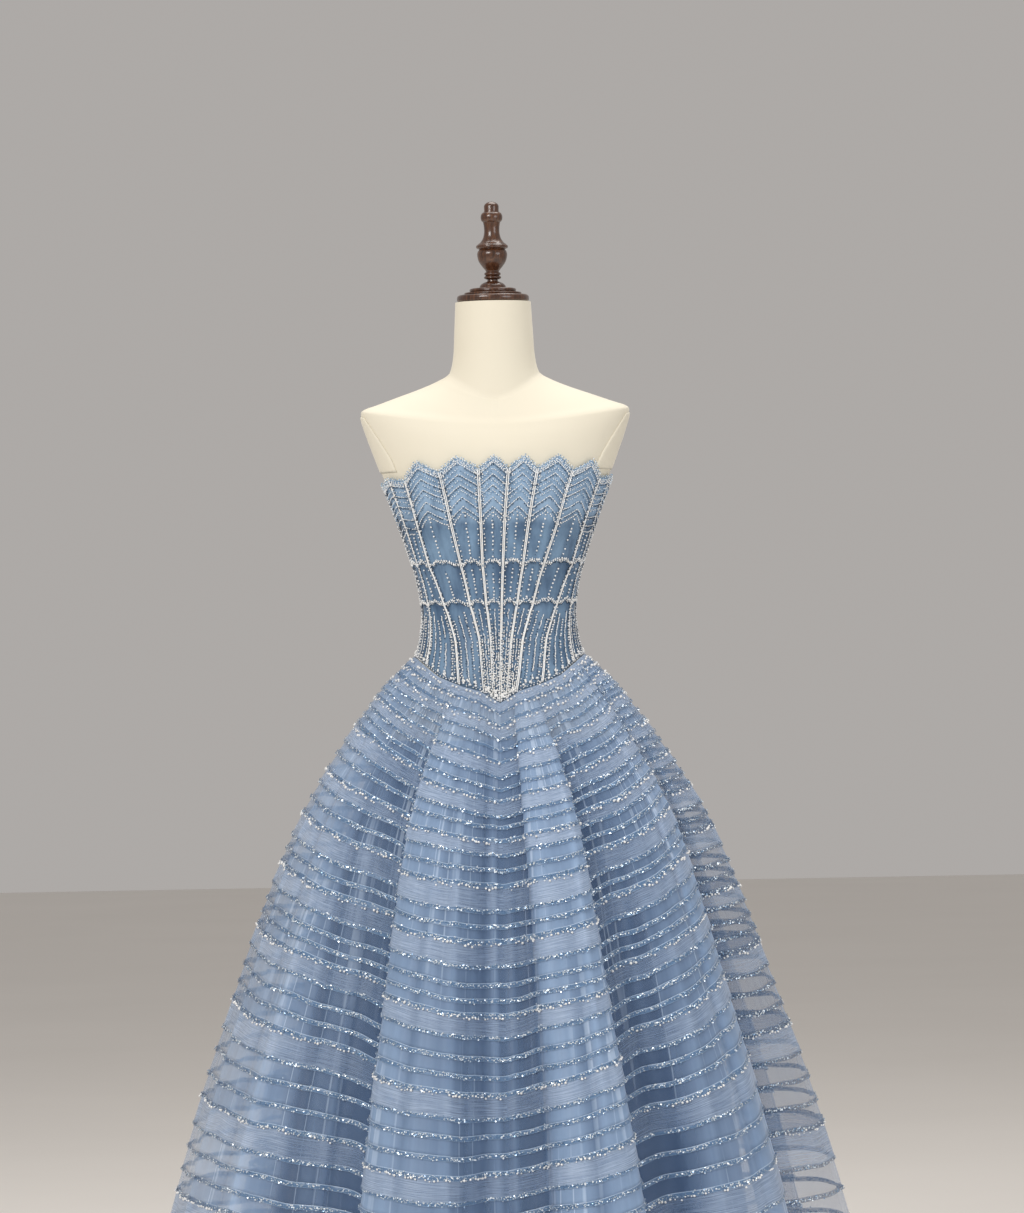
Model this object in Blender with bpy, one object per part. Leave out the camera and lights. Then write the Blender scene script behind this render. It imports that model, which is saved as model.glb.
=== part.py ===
"""Strapless ball gown on a limbless dress form, modelled as the pieces a maker cuts, sews and turns.

Metres, +Z up, front towards -Y. Angles run round from centre front (0) towards +X (90) to the back (180).
"""

import math

import bmesh
import bpy
from mathutils import Matrix, Vector

# ---- driving dimensions ----------------------------------------------------------------------------
WALL = 0.0020  # cloth wall
SEAM = 0.0003  # gap between sewn pieces
BODICE_OFF = 0.0025  # inside of the bodice off the form
SKIRT_OFF = 0.0070  # outside of the gathered skirt seam off the form
TURN_AT_TOP = 6.0  # degrees that the bodice sits turned on the form at its top edge
BODICE_TOP = 1.318
TURN_FROM = 0.985  # height where that turn starts
NECK_TOP = 1.562
POLE_RADIUS = 0.0125
BASE_RADIUS = 0.170
BASE_THICK = 0.020
FORM_SIDES = 40
TURNED_SIDES = 24

# Form sections, bottom to top: height at the side, at the front and at the back, then the half width
# and how far the front and the back stand off the centre line.
FORM = [
    # side, front, back, half_width, front_depth, back_depth
    (0.800, 0.800, 0.800, 0.122, 0.080, 0.090),
    (0.806, 0.806, 0.806, 0.150, 0.098, 0.110),
    (0.830, 0.830, 0.830, 0.164, 0.106, 0.121),
    (0.875, 0.875, 0.875, 0.168, 0.107, 0.122),
    (0.920, 0.920, 0.920, 0.163, 0.104, 0.117),
    (0.960, 0.960, 0.960, 0.152, 0.099, 0.108),
    (1.005, 1.005, 1.005, 0.135, 0.092, 0.095),
    (1.056, 1.056, 1.056, 0.1135, 0.085, 0.083),
    (1.101, 1.101, 1.101, 0.1055, 0.080, 0.079),
    (1.132, 1.132, 1.132, 0.1070, 0.081, 0.080),
    (1.169, 1.169, 1.169, 0.1140, 0.087, 0.085),
    (1.215, 1.215, 1.215, 0.1285, 0.096, 0.091),
    (1.263, 1.263, 1.263, 0.1455, 0.103, 0.097),
    (1.299, 1.299, 1.299, 0.1595, 0.105, 0.100),
    (1.340, 1.340, 1.340, 0.1750, 0.102, 0.101),
    (1.378, 1.362, 1.374, 0.1885, 0.096, 0.097),
    (1.401, 1.378, 1.396, 0.1945, 0.089, 0.090),
    (1.409, 1.384, 1.404, 0.1900, 0.086, 0.087),
    (1.416, 1.391, 1.413, 0.1700, 0.081, 0.081),
    (1.426, 1.399, 1.424, 0.1420, 0.0765, 0.075),
    (1.438, 1.409, 1.437, 0.1080, 0.0705, 0.069),
    (1.449, 1.417, 1.449, 0.0820, 0.0655, 0.063),
    (1.460, 1.425, 1.461, 0.0655, 0.0610, 0.059),
    (1.484, 1.458, 1.485, 0.0592, 0.0580, 0.057),
    (1.520, 1.510, 1.520, 0.0570, 0.0565, 0.056),
    (NECK_TOP, NECK_TOP, NECK_TOP, 0.0547, 0.0547, 0.0547),
]
SIDE, FRONT, BACK, WIDTH, FRONT_DEPTH, BACK_DEPTH = range(6)
BUST_OUT, BUST_ANGLE, BUST_SPREAD, BUST_HEIGHT, BUST_TALL = 0.009, 31.0, 17.0, 1.240, 0.042

# Outline of the skirt, waist seam to hem: height at the front and at the side, half width and half depth
# over the ridges, and how deep the folds are. The waist seam itself lies on the form.
SKIRT = [
    # front_z, side_z, half_width, half_depth, fold
    (0.9820, 1.047, 0.120, 0.102, 0.000),
    (0.9516, 1.010, 0.166, 0.138, 0.006),
    (0.8993, 0.945, 0.216, 0.188, 0.016),
    (0.8458, 0.873, 0.263, 0.237, 0.026),
    (0.7917, 0.806, 0.300, 0.281, 0.036),
    (0.7294, 0.735, 0.330, 0.318, 0.046),
    (0.6523, 0.654, 0.360, 0.355, 0.055),
    (0.5535, 0.5535, 0.394, 0.394, 0.064),
    (0.4477, 0.4477, 0.431, 0.432, 0.073),
    (0.3397, 0.3397, 0.463, 0.466, 0.081),
    (0.2275, 0.2275, 0.492, 0.494, 0.087),
    (0.1130, 0.1130, 0.519, 0.520, 0.092),
    (0.0100, 0.0100, 0.543, 0.543, 0.096),
]
BACK_DIP = 0.18  # how far the waist seam dips again at centre back, as a share of its rise

# Where the tiers meet, waist seam to hem: height at the front, at the side, and how much higher the row
# runs at the left side than the middle of both sides.
ROWS = [
    # front_z, side_z, lean
    (0.9820, 1.047, 0.000),
    (0.9516, 1.029, 0.000),
    (0.8993, 0.998, 0.000),
    (0.8458, 0.959, -0.002),
    (0.7917, 0.902, 0.008),
    (0.7294, 0.848, 0.015),
    (0.6523, 0.785, 0.022),
    (0.5535, 0.696, 0.024),
    (0.4477, 0.604, 0.036),
    (0.3397, 0.476, 0.046),
    (0.2275, 0.335, 0.040),
    (0.1130, 0.170, 0.020),
    (0.0100, 0.010, 0.000),
]
ROW_CURVE = 1.5  # the rows below the V rise as this power of the angle's sine
SMOOTH_FROM = 4.0  # first row with nothing left of the V

# Rise of the V-shaped waist seam by how far round it is: sine of the angle, share of the rise.
V_SEAM = [(0.0, 0.0), (0.2, 0.26), (0.41, 0.39), (0.65, 0.58), (0.94, 0.94), (1.0, 1.0)]

# The skirt's large folds: each ridge's first and last angle, and how far it stands (1 = full).
RIDGES = [
    (7.5, 22.0, 1.06),
    (30.0, 61.0, 0.94),
    (67.0, 102.0, 1.00),
    (108.0, 134.0, 0.92),
    (141.0, 163.0, 0.97),
    (169.0, 191.0, 0.90),
    (198.0, 222.0, 0.98),
    (228.0, 241.0, 0.92),
    (246.0, 321.0, 1.00),
    (332.0, 355.0, 0.96),
]
RIDGE_STEPS = (0.0, 0.17, 0.5, 0.83, 1.0)  # where a section cuts each ridge
WIDE_STEPS = (0.0, 0.09, 0.20, 0.30, 0.42, 0.54, 0.66, 0.78, 0.91, 1.0)  # and a ridge wider than this:
WIDE_RIDGE = 60.0

# Underskirt sections: height, half width and half depth of its outside.
UNDERSKIRT = [
    (0.930, 0.1660, 0.1180),
    (0.870, 0.1990, 0.1560),
    (0.780, 0.2350, 0.2020),
    (0.640, 0.2780, 0.2600),
    (0.420, 0.3260, 0.3180),
    (0.022, 0.3780, 0.3740),
]
UNDERSKIRT_PANELS = 6
PANEL_COLUMNS = 5

# Bones between the front gores, as degrees round from centre front at each height.
BONES = [
    # height, inner, middle, outer
    (0.985, 3.4, 8.0, 22.0),
    (1.072, 7.4, 15.8, 35.0),
    (1.124, 11.5, 24.0, 47.0),
    (1.182, 13.8, 29.0, 57.0),
    (1.320, 14.5, 34.8, 58.0),
]
SIDE_SEAM, BACK_INNER, BACK_OUTER = 88.0, 150.0, 119.0

# ---- small tools -----------------------------------------------------------------------------------


def read(table, at, column, key=0):
    """The column's value where the key column is at, along straight lines between rows."""
    rows = sorted(table, key=lambda row: row[key])
    if at <= rows[0][key]:
        return rows[0][column]
    for low, high in zip(rows, rows[1:]):
        if at <= high[key]:
            share = (at - low[key]) / (high[key] - low[key])
            return low[column] + (high[column] - low[column]) * share
    return rows[-1][column]


def curve_through(values, at):
    """Smooth curve through evenly numbered values (numbers or vectors), at a fractional place."""
    index = min(int(at), len(values) - 2)
    share = at - index
    before = values[index - 1] if index > 0 else values[0] * 2 - values[1]
    first, second = values[index], values[index + 1]
    after = values[index + 2] if index + 2 < len(values) else second * 2 - first
    slope_in, slope_out = (second - before) * 0.5, (after - first) * 0.5
    square, cube = share * share, share * share * share
    return (
        first * (2 * cube - 3 * square + 1)
        + slope_in * (cube - 2 * square + share)
        + second * (3 * square - 2 * cube)
        + slope_out * (cube - square)
    )


def place_of(height):
    """Place along FORM, as a fractional row, where the level rows reach this height."""
    for index in range(len(FORM) - 1):
        low, high = FORM[index][SIDE], FORM[index + 1][SIDE]
        if height <= high:
            return index + max(0.0, height - low) / (high - low)
    return len(FORM) - 1.0


def form_at(angle, place):
    """Point of the form's surface at an angle in degrees and a place along FORM."""
    sine, cosine = math.sin(math.radians(angle)), math.cos(math.radians(angle))
    value = [curve_through([row[column] for row in FORM], place) for column in range(6)]
    middle, depth = (value[FRONT], value[FRONT_DEPTH]) if cosine > 0 else (value[BACK], value[BACK_DEPTH])
    height = middle + (value[SIDE] - middle) * abs(sine) ** 1.6
    turn = (angle + 180.0) % 360.0 - 180.0
    bust = BUST_OUT * math.exp(-(((height - BUST_HEIGHT) / BUST_TALL) ** 2))
    bust *= math.exp(-(((abs(turn) - BUST_ANGLE) / BUST_SPREAD) ** 2))
    return Vector((value[WIDTH] * sine + bust * sine * 0.5, -(depth + bust) * cosine, height))


def off_form(angle, place, out):
    """Point that lies the distance out off the form, square to its surface."""
    round_step = form_at(angle + 1.0, place) - form_at(angle - 1.0, place)
    top = min(place + 0.1, len(FORM) - 1.0)
    up_step = form_at(angle, top) - form_at(angle, max(place - 0.1, 0.0))
    return form_at(angle, place) + round_step.cross(up_step).normalized() * out


def turned(angle, height):
    """Angle on the form of a bodice line, with the bodice's small turn."""
    share = (height - TURN_FROM) / (BODICE_TOP - TURN_FROM)
    return angle + TURN_AT_TOP * min(max(share, 0.0), 1.1)


def seam_rise(angle):
    """Share of the waist seam's rise at an angle: 0 at the V's tip, 1 at the sides."""
    sine, cosine = math.sin(math.radians(angle)), math.cos(math.radians(angle))
    if cosine < 0:
        return 1.0 - BACK_DIP * cosine * cosine
    return read(V_SEAM, abs(sine), 1)


def seam_height(angle):
    """Height of the waist seam."""
    return SKIRT[0][0] + (SKIRT[0][1] - SKIRT[0][0]) * seam_rise(angle)


def ridge_share(angle):
    """How far the skirt stands out at an angle: 1 on a ridge, 0 or a little under in the hollow between."""
    for index, (first, last, stand) in enumerate(RIDGES):
        share = ((angle - first) % 360.0) / (last - first)
        if share <= 1.0:
            return stand * (1.0 - abs(2.0 * share - 1.0) ** 3)
        following = RIDGES[(index + 1) % len(RIDGES)][0]
        gap = (following - last) % 360.0
        share = ((angle - last) % 360.0) / gap
        if share < 1.0:
            return -0.10 * math.sin(math.pi * share)
    return 0.0


def row_height(angle, place):
    """Height at an angle and a place along ROWS."""
    sine = math.sin(math.radians(angle))
    sharp, smooth = seam_rise(angle), abs(sine) ** ROW_CURVE
    if abs(angle % 360.0 - 180.0) < 90.0:
        smooth = sharp
    index = min(int(place), len(ROWS) - 2)
    heights = []
    for row in (index, index + 1):
        front_z, side_z, lean = ROWS[row]
        rise = sharp + (smooth - sharp) * min(row / SMOOTH_FROM, 1.0)
        heights.append(front_z + (side_z - front_z) * rise + lean * sine)
    return heights[0] + (heights[1] - heights[0]) * (place - index)


def skirt_at(angle, place):
    """Point of the skirt's outside at an angle and a place along ROWS."""
    sine, cosine = math.sin(math.radians(angle)), math.cos(math.radians(angle))
    rise, ridge = seam_rise(angle), ridge_share(angle)
    points = [off_form(angle, place_of(seam_height(angle)), SKIRT_OFF)]
    levels = [(-seam_height(angle), 0.0)]
    for front_z, side_z, half_width, half_depth, fold in SKIRT[1:]:
        shrink = 1.0 - fold * (1.0 - ridge) / half_width
        points.append(Vector((half_width * shrink * sine, -half_depth * shrink * cosine, 0.0)))
        levels.append((-front_z - (side_z - front_z) * rise, float(len(levels))))
    height = row_height(angle, place)
    point = curve_through(points, read(levels, -height, 1))
    point.z = height + (points[0].z - seam_height(angle)) * max(0.0, 1.0 - place)
    return point


def inside_skirt(angle, place, deep):
    """Point the distance deep behind the skirt's outside."""
    last = len(ROWS) - 1.0
    round_step = skirt_at(angle + 0.4, place) - skirt_at(angle - 0.4, place)
    down_step = skirt_at(angle, min(place + 0.05, last)) - skirt_at(angle, max(place - 0.05, 0.0))
    return skirt_at(angle, place) - down_step.cross(round_step).normalized() * deep


def finish_of(name, colour, roughness, metallic=0.0):
    """Plain material with this colour, roughness and metallic value."""
    material = bpy.data.materials.new(name)
    material.use_nodes = True
    shader = material.node_tree.nodes["Principled BSDF"]
    shader.inputs["Base Color"].default_value = (*colour, 1.0)
    shader.inputs["Roughness"].default_value = roughness
    shader.inputs["Metallic"].default_value = metallic
    material.diffuse_color = (*colour, 1.0)
    return material


def add_mesh(name, points, faces, material, smooth=40.0):
    """New object from points and faces, with its normals facing out."""
    mesh = bpy.data.meshes.new(name)
    mesh.from_pydata(points, [], faces)
    work = bmesh.new()
    work.from_mesh(mesh)
    bmesh.ops.recalc_face_normals(work, faces=work.faces)
    work.to_mesh(mesh)
    work.free()
    mesh.materials.append(material)
    mesh.shade_smooth()
    mesh.set_sharp_from_angle(angle=math.radians(smooth))
    made = bpy.data.objects.new(name, mesh)
    bpy.context.scene.collection.objects.link(made)
    return made


def wall_between(name, outside, inside, ring, material):
    """Closed wall between two grids of rows, whose columns close into a ring or end at two edges."""
    rows, columns = len(outside), len(outside[0])
    points = [point for grid in (outside, inside) for row in grid for point in row]
    half = rows * columns
    faces = []
    for row in range(rows - 1):
        for column in range(columns if ring else columns - 1):
            following = (column + 1) % columns
            here, there = row * columns + column, row * columns + following
            quad = (here, there, there + columns, here + columns)
            faces.append(quad)
            faces.append(tuple(half + corner for corner in reversed(quad)))
    for row in (0, rows - 1):
        for column in range(columns if ring else columns - 1):
            here, there = row * columns + column, row * columns + (column + 1) % columns
            faces.append((here, half + here, half + there, there))
    if not ring:
        for column in (0, columns - 1):
            for row in range(rows - 1):
                here = row * columns + column
                faces.append((here, here + columns, half + here + columns, half + here))
    return add_mesh(name, points, faces, material)


def solid_of_rings(name, rings, material, smooth=40.0):
    """Closed solid through rings of points, flat at both ends."""
    columns = len(rings[0])
    points = [point for ring in rings for point in ring]
    faces = [tuple(range(columns)), tuple(range((len(rings) - 1) * columns, len(rings) * columns))]
    for row in range(len(rings) - 1):
        for column in range(columns):
            here, there = row * columns + column, row * columns + (column + 1) % columns
            faces.append((here, there, there + columns, here + columns))
    return add_mesh(name, points, faces, material, smooth)


def turned_piece(name, profile, material):
    """Lathe-turned solid from a profile of radius and height."""
    rings = []
    for radius, height in profile:
        angles = [math.tau * step / TURNED_SIDES for step in range(TURNED_SIDES)]
        rings.append([(radius * math.cos(turn), radius * math.sin(turn), height) for turn in angles])
    return solid_of_rings(name, rings, material)


def bead_profile(low, high, radius, neck):
    """Half-round bead between two heights, for a turned profile."""
    middle, half = (low + high) / 2, (high - low) / 2
    steps = (-0.9, -0.4, 0.4, 0.9)
    return [(neck + (radius - neck) * math.sqrt(1 - step * step), middle + half * step) for step in steps]


# ---- the dress form and its stand ------------------------------------------------------------------


def make_torso(material):
    """The padded body and neck, one smooth solid."""
    place_step = 1.0
    rings = []
    place = 0.0
    while place <= len(FORM) - 1.0:
        angles = [360.0 * side / FORM_SIDES for side in range(FORM_SIDES)]
        rings.append([form_at(angle, place) for angle in angles])
        place += place_step
    solid_of_rings("form_torso", rings, material)


def make_arm_plate(name, middle, material):
    """The oval cap that closes an arm end, lying on the form above the bodice."""
    heights = (1.317, 1.335, 1.358, 1.380, 1.398)
    spreads = (31.0, 30.0, 26.0, 21.0, 13.0)
    steps = (-1.0, -0.6, -0.2, 0.2, 0.6, 1.0)
    grids = []
    for out in (0.0034, 0.0009):
        grid = []
        for height, spread in zip(heights, spreads):
            row = [off_form(middle + spread * step, place_of(height), out) for step in steps]
            grid.append(row)
        grids.append(grid)
    wall_between(name, grids[0], grids[1], False, material)


def make_neck_cap(material):
    """Three stepped discs and the dome under the finial."""
    low = NECK_TOP + SEAM
    profile = [(0.0500, low), (0.0524, low + 0.002), (0.0524, 1.5715), (0.0500, 1.5725)]
    profile += [(0.0416, 1.5735), (0.0416, 1.5755), (0.0339, 1.5765), (0.0339, 1.5815), (0.0300, 1.5828)]
    profile += [(0.0194, 1.5840), (0.0188, 1.5880), (0.0140, 1.5930), (0.0100, 1.5945)]
    turned_piece("neck_cap", profile, material)


def make_finial(material):
    """Turned finial: ring, urn, flare, slim vase neck, bead and button."""
    profile = [(0.0094, 1.5945 + SEAM)]
    profile += bead_profile(1.5955, 1.6055, 0.0125, 0.0095)
    profile += [(0.0094, 1.6080), (0.0135, 1.6130), (0.0200, 1.6215), (0.0218, 1.6300), (0.0212, 1.6350)]
    profile += [(0.0190, 1.6385), (0.0233, 1.6410), (0.0233, 1.6445), (0.0205, 1.6470), (0.0150, 1.6500)]
    profile += [(0.0118, 1.6570), (0.0110, 1.6640), (0.0118, 1.6730), (0.0130, 1.6775)]
    profile += bead_profile(1.6780, 1.6920, 0.0159, 0.0120)
    profile += [(0.0108, 1.6930), (0.0108, 1.7010), (0.0085, 1.7060), (0.0040, 1.7080)]
    turned_piece("finial", profile, material)


def make_stand(wood, steel):
    """Round base and the pole up to the underside of the form."""
    base = [(BASE_RADIUS - 0.004, 0.0), (BASE_RADIUS, 0.004), (BASE_RADIUS, BASE_THICK - 0.006)]
    base += [(BASE_RADIUS - 0.006, BASE_THICK), (0.030, BASE_THICK + 0.001), (0.022, BASE_THICK + 0.014)]
    turned_piece("stand_base", base, wood)
    foot, head = BASE_THICK + 0.014 + SEAM, FORM[0][SIDE] - SEAM
    turned_piece("stand_pole", [(POLE_RADIUS, foot), (POLE_RADIUS, head)], steel)


# ---- the bodice ------------------------------------------------------------------------------------


def bone_angle(column, height):
    """Angle of a front bone at a height, on the +X side."""
    return read(BONES, height, column)


def fixed(angle):
    """A seam that keeps one angle at every height."""
    return lambda height: angle


def gore_lines():
    """The seams round half of the bodice, centre front to centre back, each an angle by height."""
    lines = [fixed(0.0)]
    lines += [lambda height, column=column: bone_angle(column, height) for column in (1, 2, 3)]
    lines += [fixed(SIDE_SEAM), fixed(BACK_OUTER), fixed(BACK_INNER), fixed(180.0)]
    return lines


# Gores from centre front to centre back: name, height of its valleys and of its peak at the top edge.
GORES = [
    ("centre_front", 1.318, 1.335),
    ("inner_front", 1.318, 1.335),
    ("outer_front", 1.312, 1.330),
    ("side_front", 1.300, 1.309),
    ("side_back", 1.294, 1.303),
    ("outer_back", 1.292, 1.301),
    ("centre_back", 1.292, 1.301),
]
GORE_ROWS = 8
GORE_COLUMNS = 4


def make_gore(name, side, first_line, last_line, ends, peak, material):
    """One gore of the bodice between two seams, pointed at the top, cut to the waist seam below."""
    grids = []
    for out in (BODICE_OFF + WALL, BODICE_OFF):
        grid = []
        for row in range(GORE_ROWS + 1):
            line = []
            for column in range(GORE_COLUMNS + 1):
                across = column / GORE_COLUMNS
                tip = 1.0 - abs(2.0 * across - 1.0)
                valley = ends[0] + (ends[1] - ends[0]) * across
                top = valley + (peak - valley) * tip
                height = top
                for _ in range(6):  # the seams lean, so the foot of a column is found step by step
                    first, last = first_line(height), last_line(height)
                    angle = side * (first + (last - first) * across)
                    foot = seam_height(turned(angle, height)) + SEAM
                    height = foot + (top - foot) * row / GORE_ROWS
                first, last = first_line(height), last_line(height)
                trim = math.degrees(SEAM * 0.6 / 0.1)
                angle = first + trim + (last - first - 2.0 * trim) * across
                line.append(off_form(turned(side * angle, height), place_of(height), out))
            grid.append(line)
        grids.append(grid)
    wall_between(name, grids[0], grids[1], False, material)


def make_bodice(material):
    """Fourteen boned gores, seven each side, with a 0.3 mm gap at each seam."""
    lines = gore_lines()
    for side, mark in ((1, "left"), (-1, "right")):
        for index, (name, valley, peak) in enumerate(GORES):
            inner = (GORES[index - 1][1] + valley) / 2 if index else valley
            outer = (GORES[index + 1][1] + valley) / 2 if index + 1 < len(GORES) else valley
            ends = (inner, outer)
            make_gore(f"bodice_{name}_{mark}", side, lines[index], lines[index + 1], ends, peak, material)


# ---- the zip at centre back ------------------------------------------------------------------------

ZIP_TOP, ZIP_FOOT, ZIP_HALF = 1.286, 1.046, 0.0045
ZIP_TAPE_THICK = 0.0008
ZIP_LIFT = 0.0012  # the tape clear of the gores, which bend between their rows
SLIDER_AT = 1.276  # height of the pull tab's hinge
SLIDER_OUT = 0.0108  # the hinge off the form
TAB_LENGTH = 0.019


def make_zip_tape(material):
    """Narrow closed zip over the centre back seam."""
    grids = []
    low_out = BODICE_OFF + WALL + ZIP_LIFT
    for out in (low_out + ZIP_TAPE_THICK, low_out):
        grid = []
        for row in range(GORE_ROWS + 1):
            height = ZIP_FOOT + (ZIP_TOP - ZIP_FOOT) * row / GORE_ROWS
            half = math.degrees(ZIP_HALF / 0.1)
            angles = [turned(180.0 + half * step, height) for step in (-1.0, 0.0, 1.0)]
            grid.append([off_form(angle, place_of(height), out) for angle in angles])
        grids.append(grid)
    wall_between("zip_tape", grids[0], grids[1], False, material)


def zip_frame(hanging):
    """Matrix at the pull tab's hinge: X along the hinge, Y out of the back, Z up along it or, hanging, plumb."""
    angle = turned(180.0, SLIDER_AT)
    place = place_of(SLIDER_AT)
    out = (off_form(angle, place, 0.01) - off_form(angle, place, 0.0)).normalized()
    if hanging:
        out = Vector((out.x, out.y, 0.0)).normalized()
    across = Vector((0.0, 0.0, 1.0)).cross(out).normalized()
    up = out.cross(across)
    turn = Matrix((across, out, up)).transposed().to_4x4()
    return Matrix.Translation(off_form(angle, place, SLIDER_OUT)) @ turn


def make_block(name, corners, width, frame, material):
    """Prism of this width along the hinge, from its side outline in the hinge's frame."""
    points = []
    for across in (-width / 2, width / 2):
        points += [frame @ Vector((across, out, up)) for out, up in corners]
    count = len(corners)
    faces = [tuple(range(count)), tuple(range(count, 2 * count))]
    for here in range(count):
        there = (here + 1) % count
        faces.append((here, there, count + there, count + here))
    return add_mesh(name, points, faces, material)


def union(target, tools):
    """Join the tools to the target as one body."""
    for tool in tools:
        joined = target.modifiers.new(tool.name, "BOOLEAN")
        joined.operation = "UNION"
        joined.object = tool
        tool.hide_render = True
        tool.display_type = "WIRE"


def make_slider(frame, material):
    """Slider body with two lugs that carry the pull tab."""
    body = [(-0.0036, -0.0050), (-0.0018, -0.0050), (-0.0018, 0.0042), (-0.0036, 0.0042)]
    slider = make_block("zip_slider", body, 0.0062, frame, material)
    lugs = []
    for mark, across in (("left", -0.0023), ("right", 0.0023)):
        lug = [(-0.0024, -0.0016), (0.0008, -0.0016), (0.0014, 0.0), (0.0008, 0.0014), (-0.0024, 0.0014)]
        moved = frame @ Matrix.Translation((across, 0.0, 0.0))
        lugs.append(make_block(f"lug_{mark}", lug, 0.0012, moved, material))
    union(slider, lugs)


def make_pull_tab(frame, material):
    """Flat pull tab that hangs from the slider's lugs and swings about the hinge."""
    eye = [(0.0011 * math.cos(turn), 0.0011 * math.sin(turn)) for turn in (0.8, 1.8, 2.8, 3.8)]
    blade = [(-0.0006, -TAB_LENGTH), (0.0004, -TAB_LENGTH), (0.0006, -0.0006)]
    make_block("zip_pull_tab", eye + blade, 0.0026, frame, material)


# ---- the skirt and its underskirt ------------------------------------------------------------------


def skirt_angles():
    """Angles at which every tier is cut: five or ten over each ridge and one in each hollow."""
    angles = []
    for index, (first, last, _) in enumerate(RIDGES):
        steps = WIDE_STEPS if last - first > WIDE_RIDGE else RIDGE_STEPS
        angles += [first + (last - first) * step for step in steps]
        following = RIDGES[(index + 1) % len(RIDGES)][0]
        angles.append(last + ((following - last) % 360.0) / 2)
    return angles


def make_tiers(material):
    """Twelve rings of organza, each sewn under the one above along a pearl row."""
    angles = skirt_angles()
    for tier in range(len(ROWS) - 1):
        falls = [row_height(angle, tier) - row_height(angle, tier + 1) for angle in (0.0, 90.0, 270.0)]
        gap = SEAM / min(falls)
        places = (tier + gap / 2, tier + 1 - gap / 2)
        outside = [[skirt_at(angle, place) for angle in angles] for place in places]
        inside = [[inside_skirt(angle, place, WALL) for angle in angles] for place in places]
        wall_between(f"skirt_tier_{tier + 1:02d}", outside, inside, True, material)


def make_underskirt(material):
    """Plain A-line underskirt inside the tiers, six panels with a 0.3 mm gap at each seam."""
    for number in range(UNDERSKIRT_PANELS):
        middle, half = 360.0 * number / UNDERSKIRT_PANELS, 180.0 / UNDERSKIRT_PANELS
        grids = []
        for deep in (0.0, WALL):
            grid = []
            for height, half_width, half_depth in UNDERSKIRT:
                trim = math.degrees(SEAM * 0.6 / half_depth)
                row = []
                for step in range(PANEL_COLUMNS + 1):
                    turn = math.radians(middle + (half - trim) * (2.0 * step / PANEL_COLUMNS - 1.0))
                    width, depth = half_width - deep, half_depth - deep
                    row.append((width * math.sin(turn), -depth * math.cos(turn), height))
                grid.append(row)
            grids.append(grid)
        wall_between(f"underskirt_panel_{number + 1}", grids[0], grids[1], False, material)


def main():
    """Clear the scene and make every piece."""
    for old in list(bpy.data.objects):
        bpy.data.objects.remove(old)
    canvas = finish_of("form_canvas", (0.86, 0.80, 0.66), 0.80)
    walnut = finish_of("walnut", (0.060, 0.022, 0.008), 0.30)
    steel = finish_of("steel", (0.55, 0.55, 0.56), 0.35, 1.0)
    satin = finish_of("blue_satin", (0.18, 0.26, 0.36), 0.45)
    organza = finish_of("organza", (0.30, 0.41, 0.60), 0.55)
    lining = finish_of("lining", (0.09, 0.15, 0.27), 0.60)
    metal = finish_of("zip_metal", (0.62, 0.64, 0.68), 0.30, 1.0)
    make_torso(canvas)
    make_arm_plate("form_arm_plate_left", 90.0, canvas)
    make_arm_plate("form_arm_plate_right", -90.0, canvas)
    make_neck_cap(walnut)
    make_finial(walnut)
    make_stand(walnut, steel)
    make_bodice(satin)
    make_zip_tape(satin)
    make_slider(zip_frame(False), metal)
    make_pull_tab(zip_frame(True), metal)
    make_tiers(organza)
    make_underskirt(lining)


main()
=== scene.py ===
import math

import bmesh
import bpy
import numpy as np
from mathutils import Matrix, Vector


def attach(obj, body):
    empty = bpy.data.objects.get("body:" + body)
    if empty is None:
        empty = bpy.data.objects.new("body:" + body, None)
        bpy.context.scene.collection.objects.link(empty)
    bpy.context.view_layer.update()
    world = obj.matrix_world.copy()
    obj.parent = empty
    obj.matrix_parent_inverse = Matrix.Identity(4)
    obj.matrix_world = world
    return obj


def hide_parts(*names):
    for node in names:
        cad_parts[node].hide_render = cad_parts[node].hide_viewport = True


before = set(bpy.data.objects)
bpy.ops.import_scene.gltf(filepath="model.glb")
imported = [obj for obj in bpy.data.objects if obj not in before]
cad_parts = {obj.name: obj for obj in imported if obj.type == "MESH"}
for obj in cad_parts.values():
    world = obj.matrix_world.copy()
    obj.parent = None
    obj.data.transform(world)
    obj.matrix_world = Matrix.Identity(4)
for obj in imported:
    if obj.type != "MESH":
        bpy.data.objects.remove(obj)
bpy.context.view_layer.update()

# Angles are in degrees round from centre front (0) towards +X (90) to the back (180).

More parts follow.
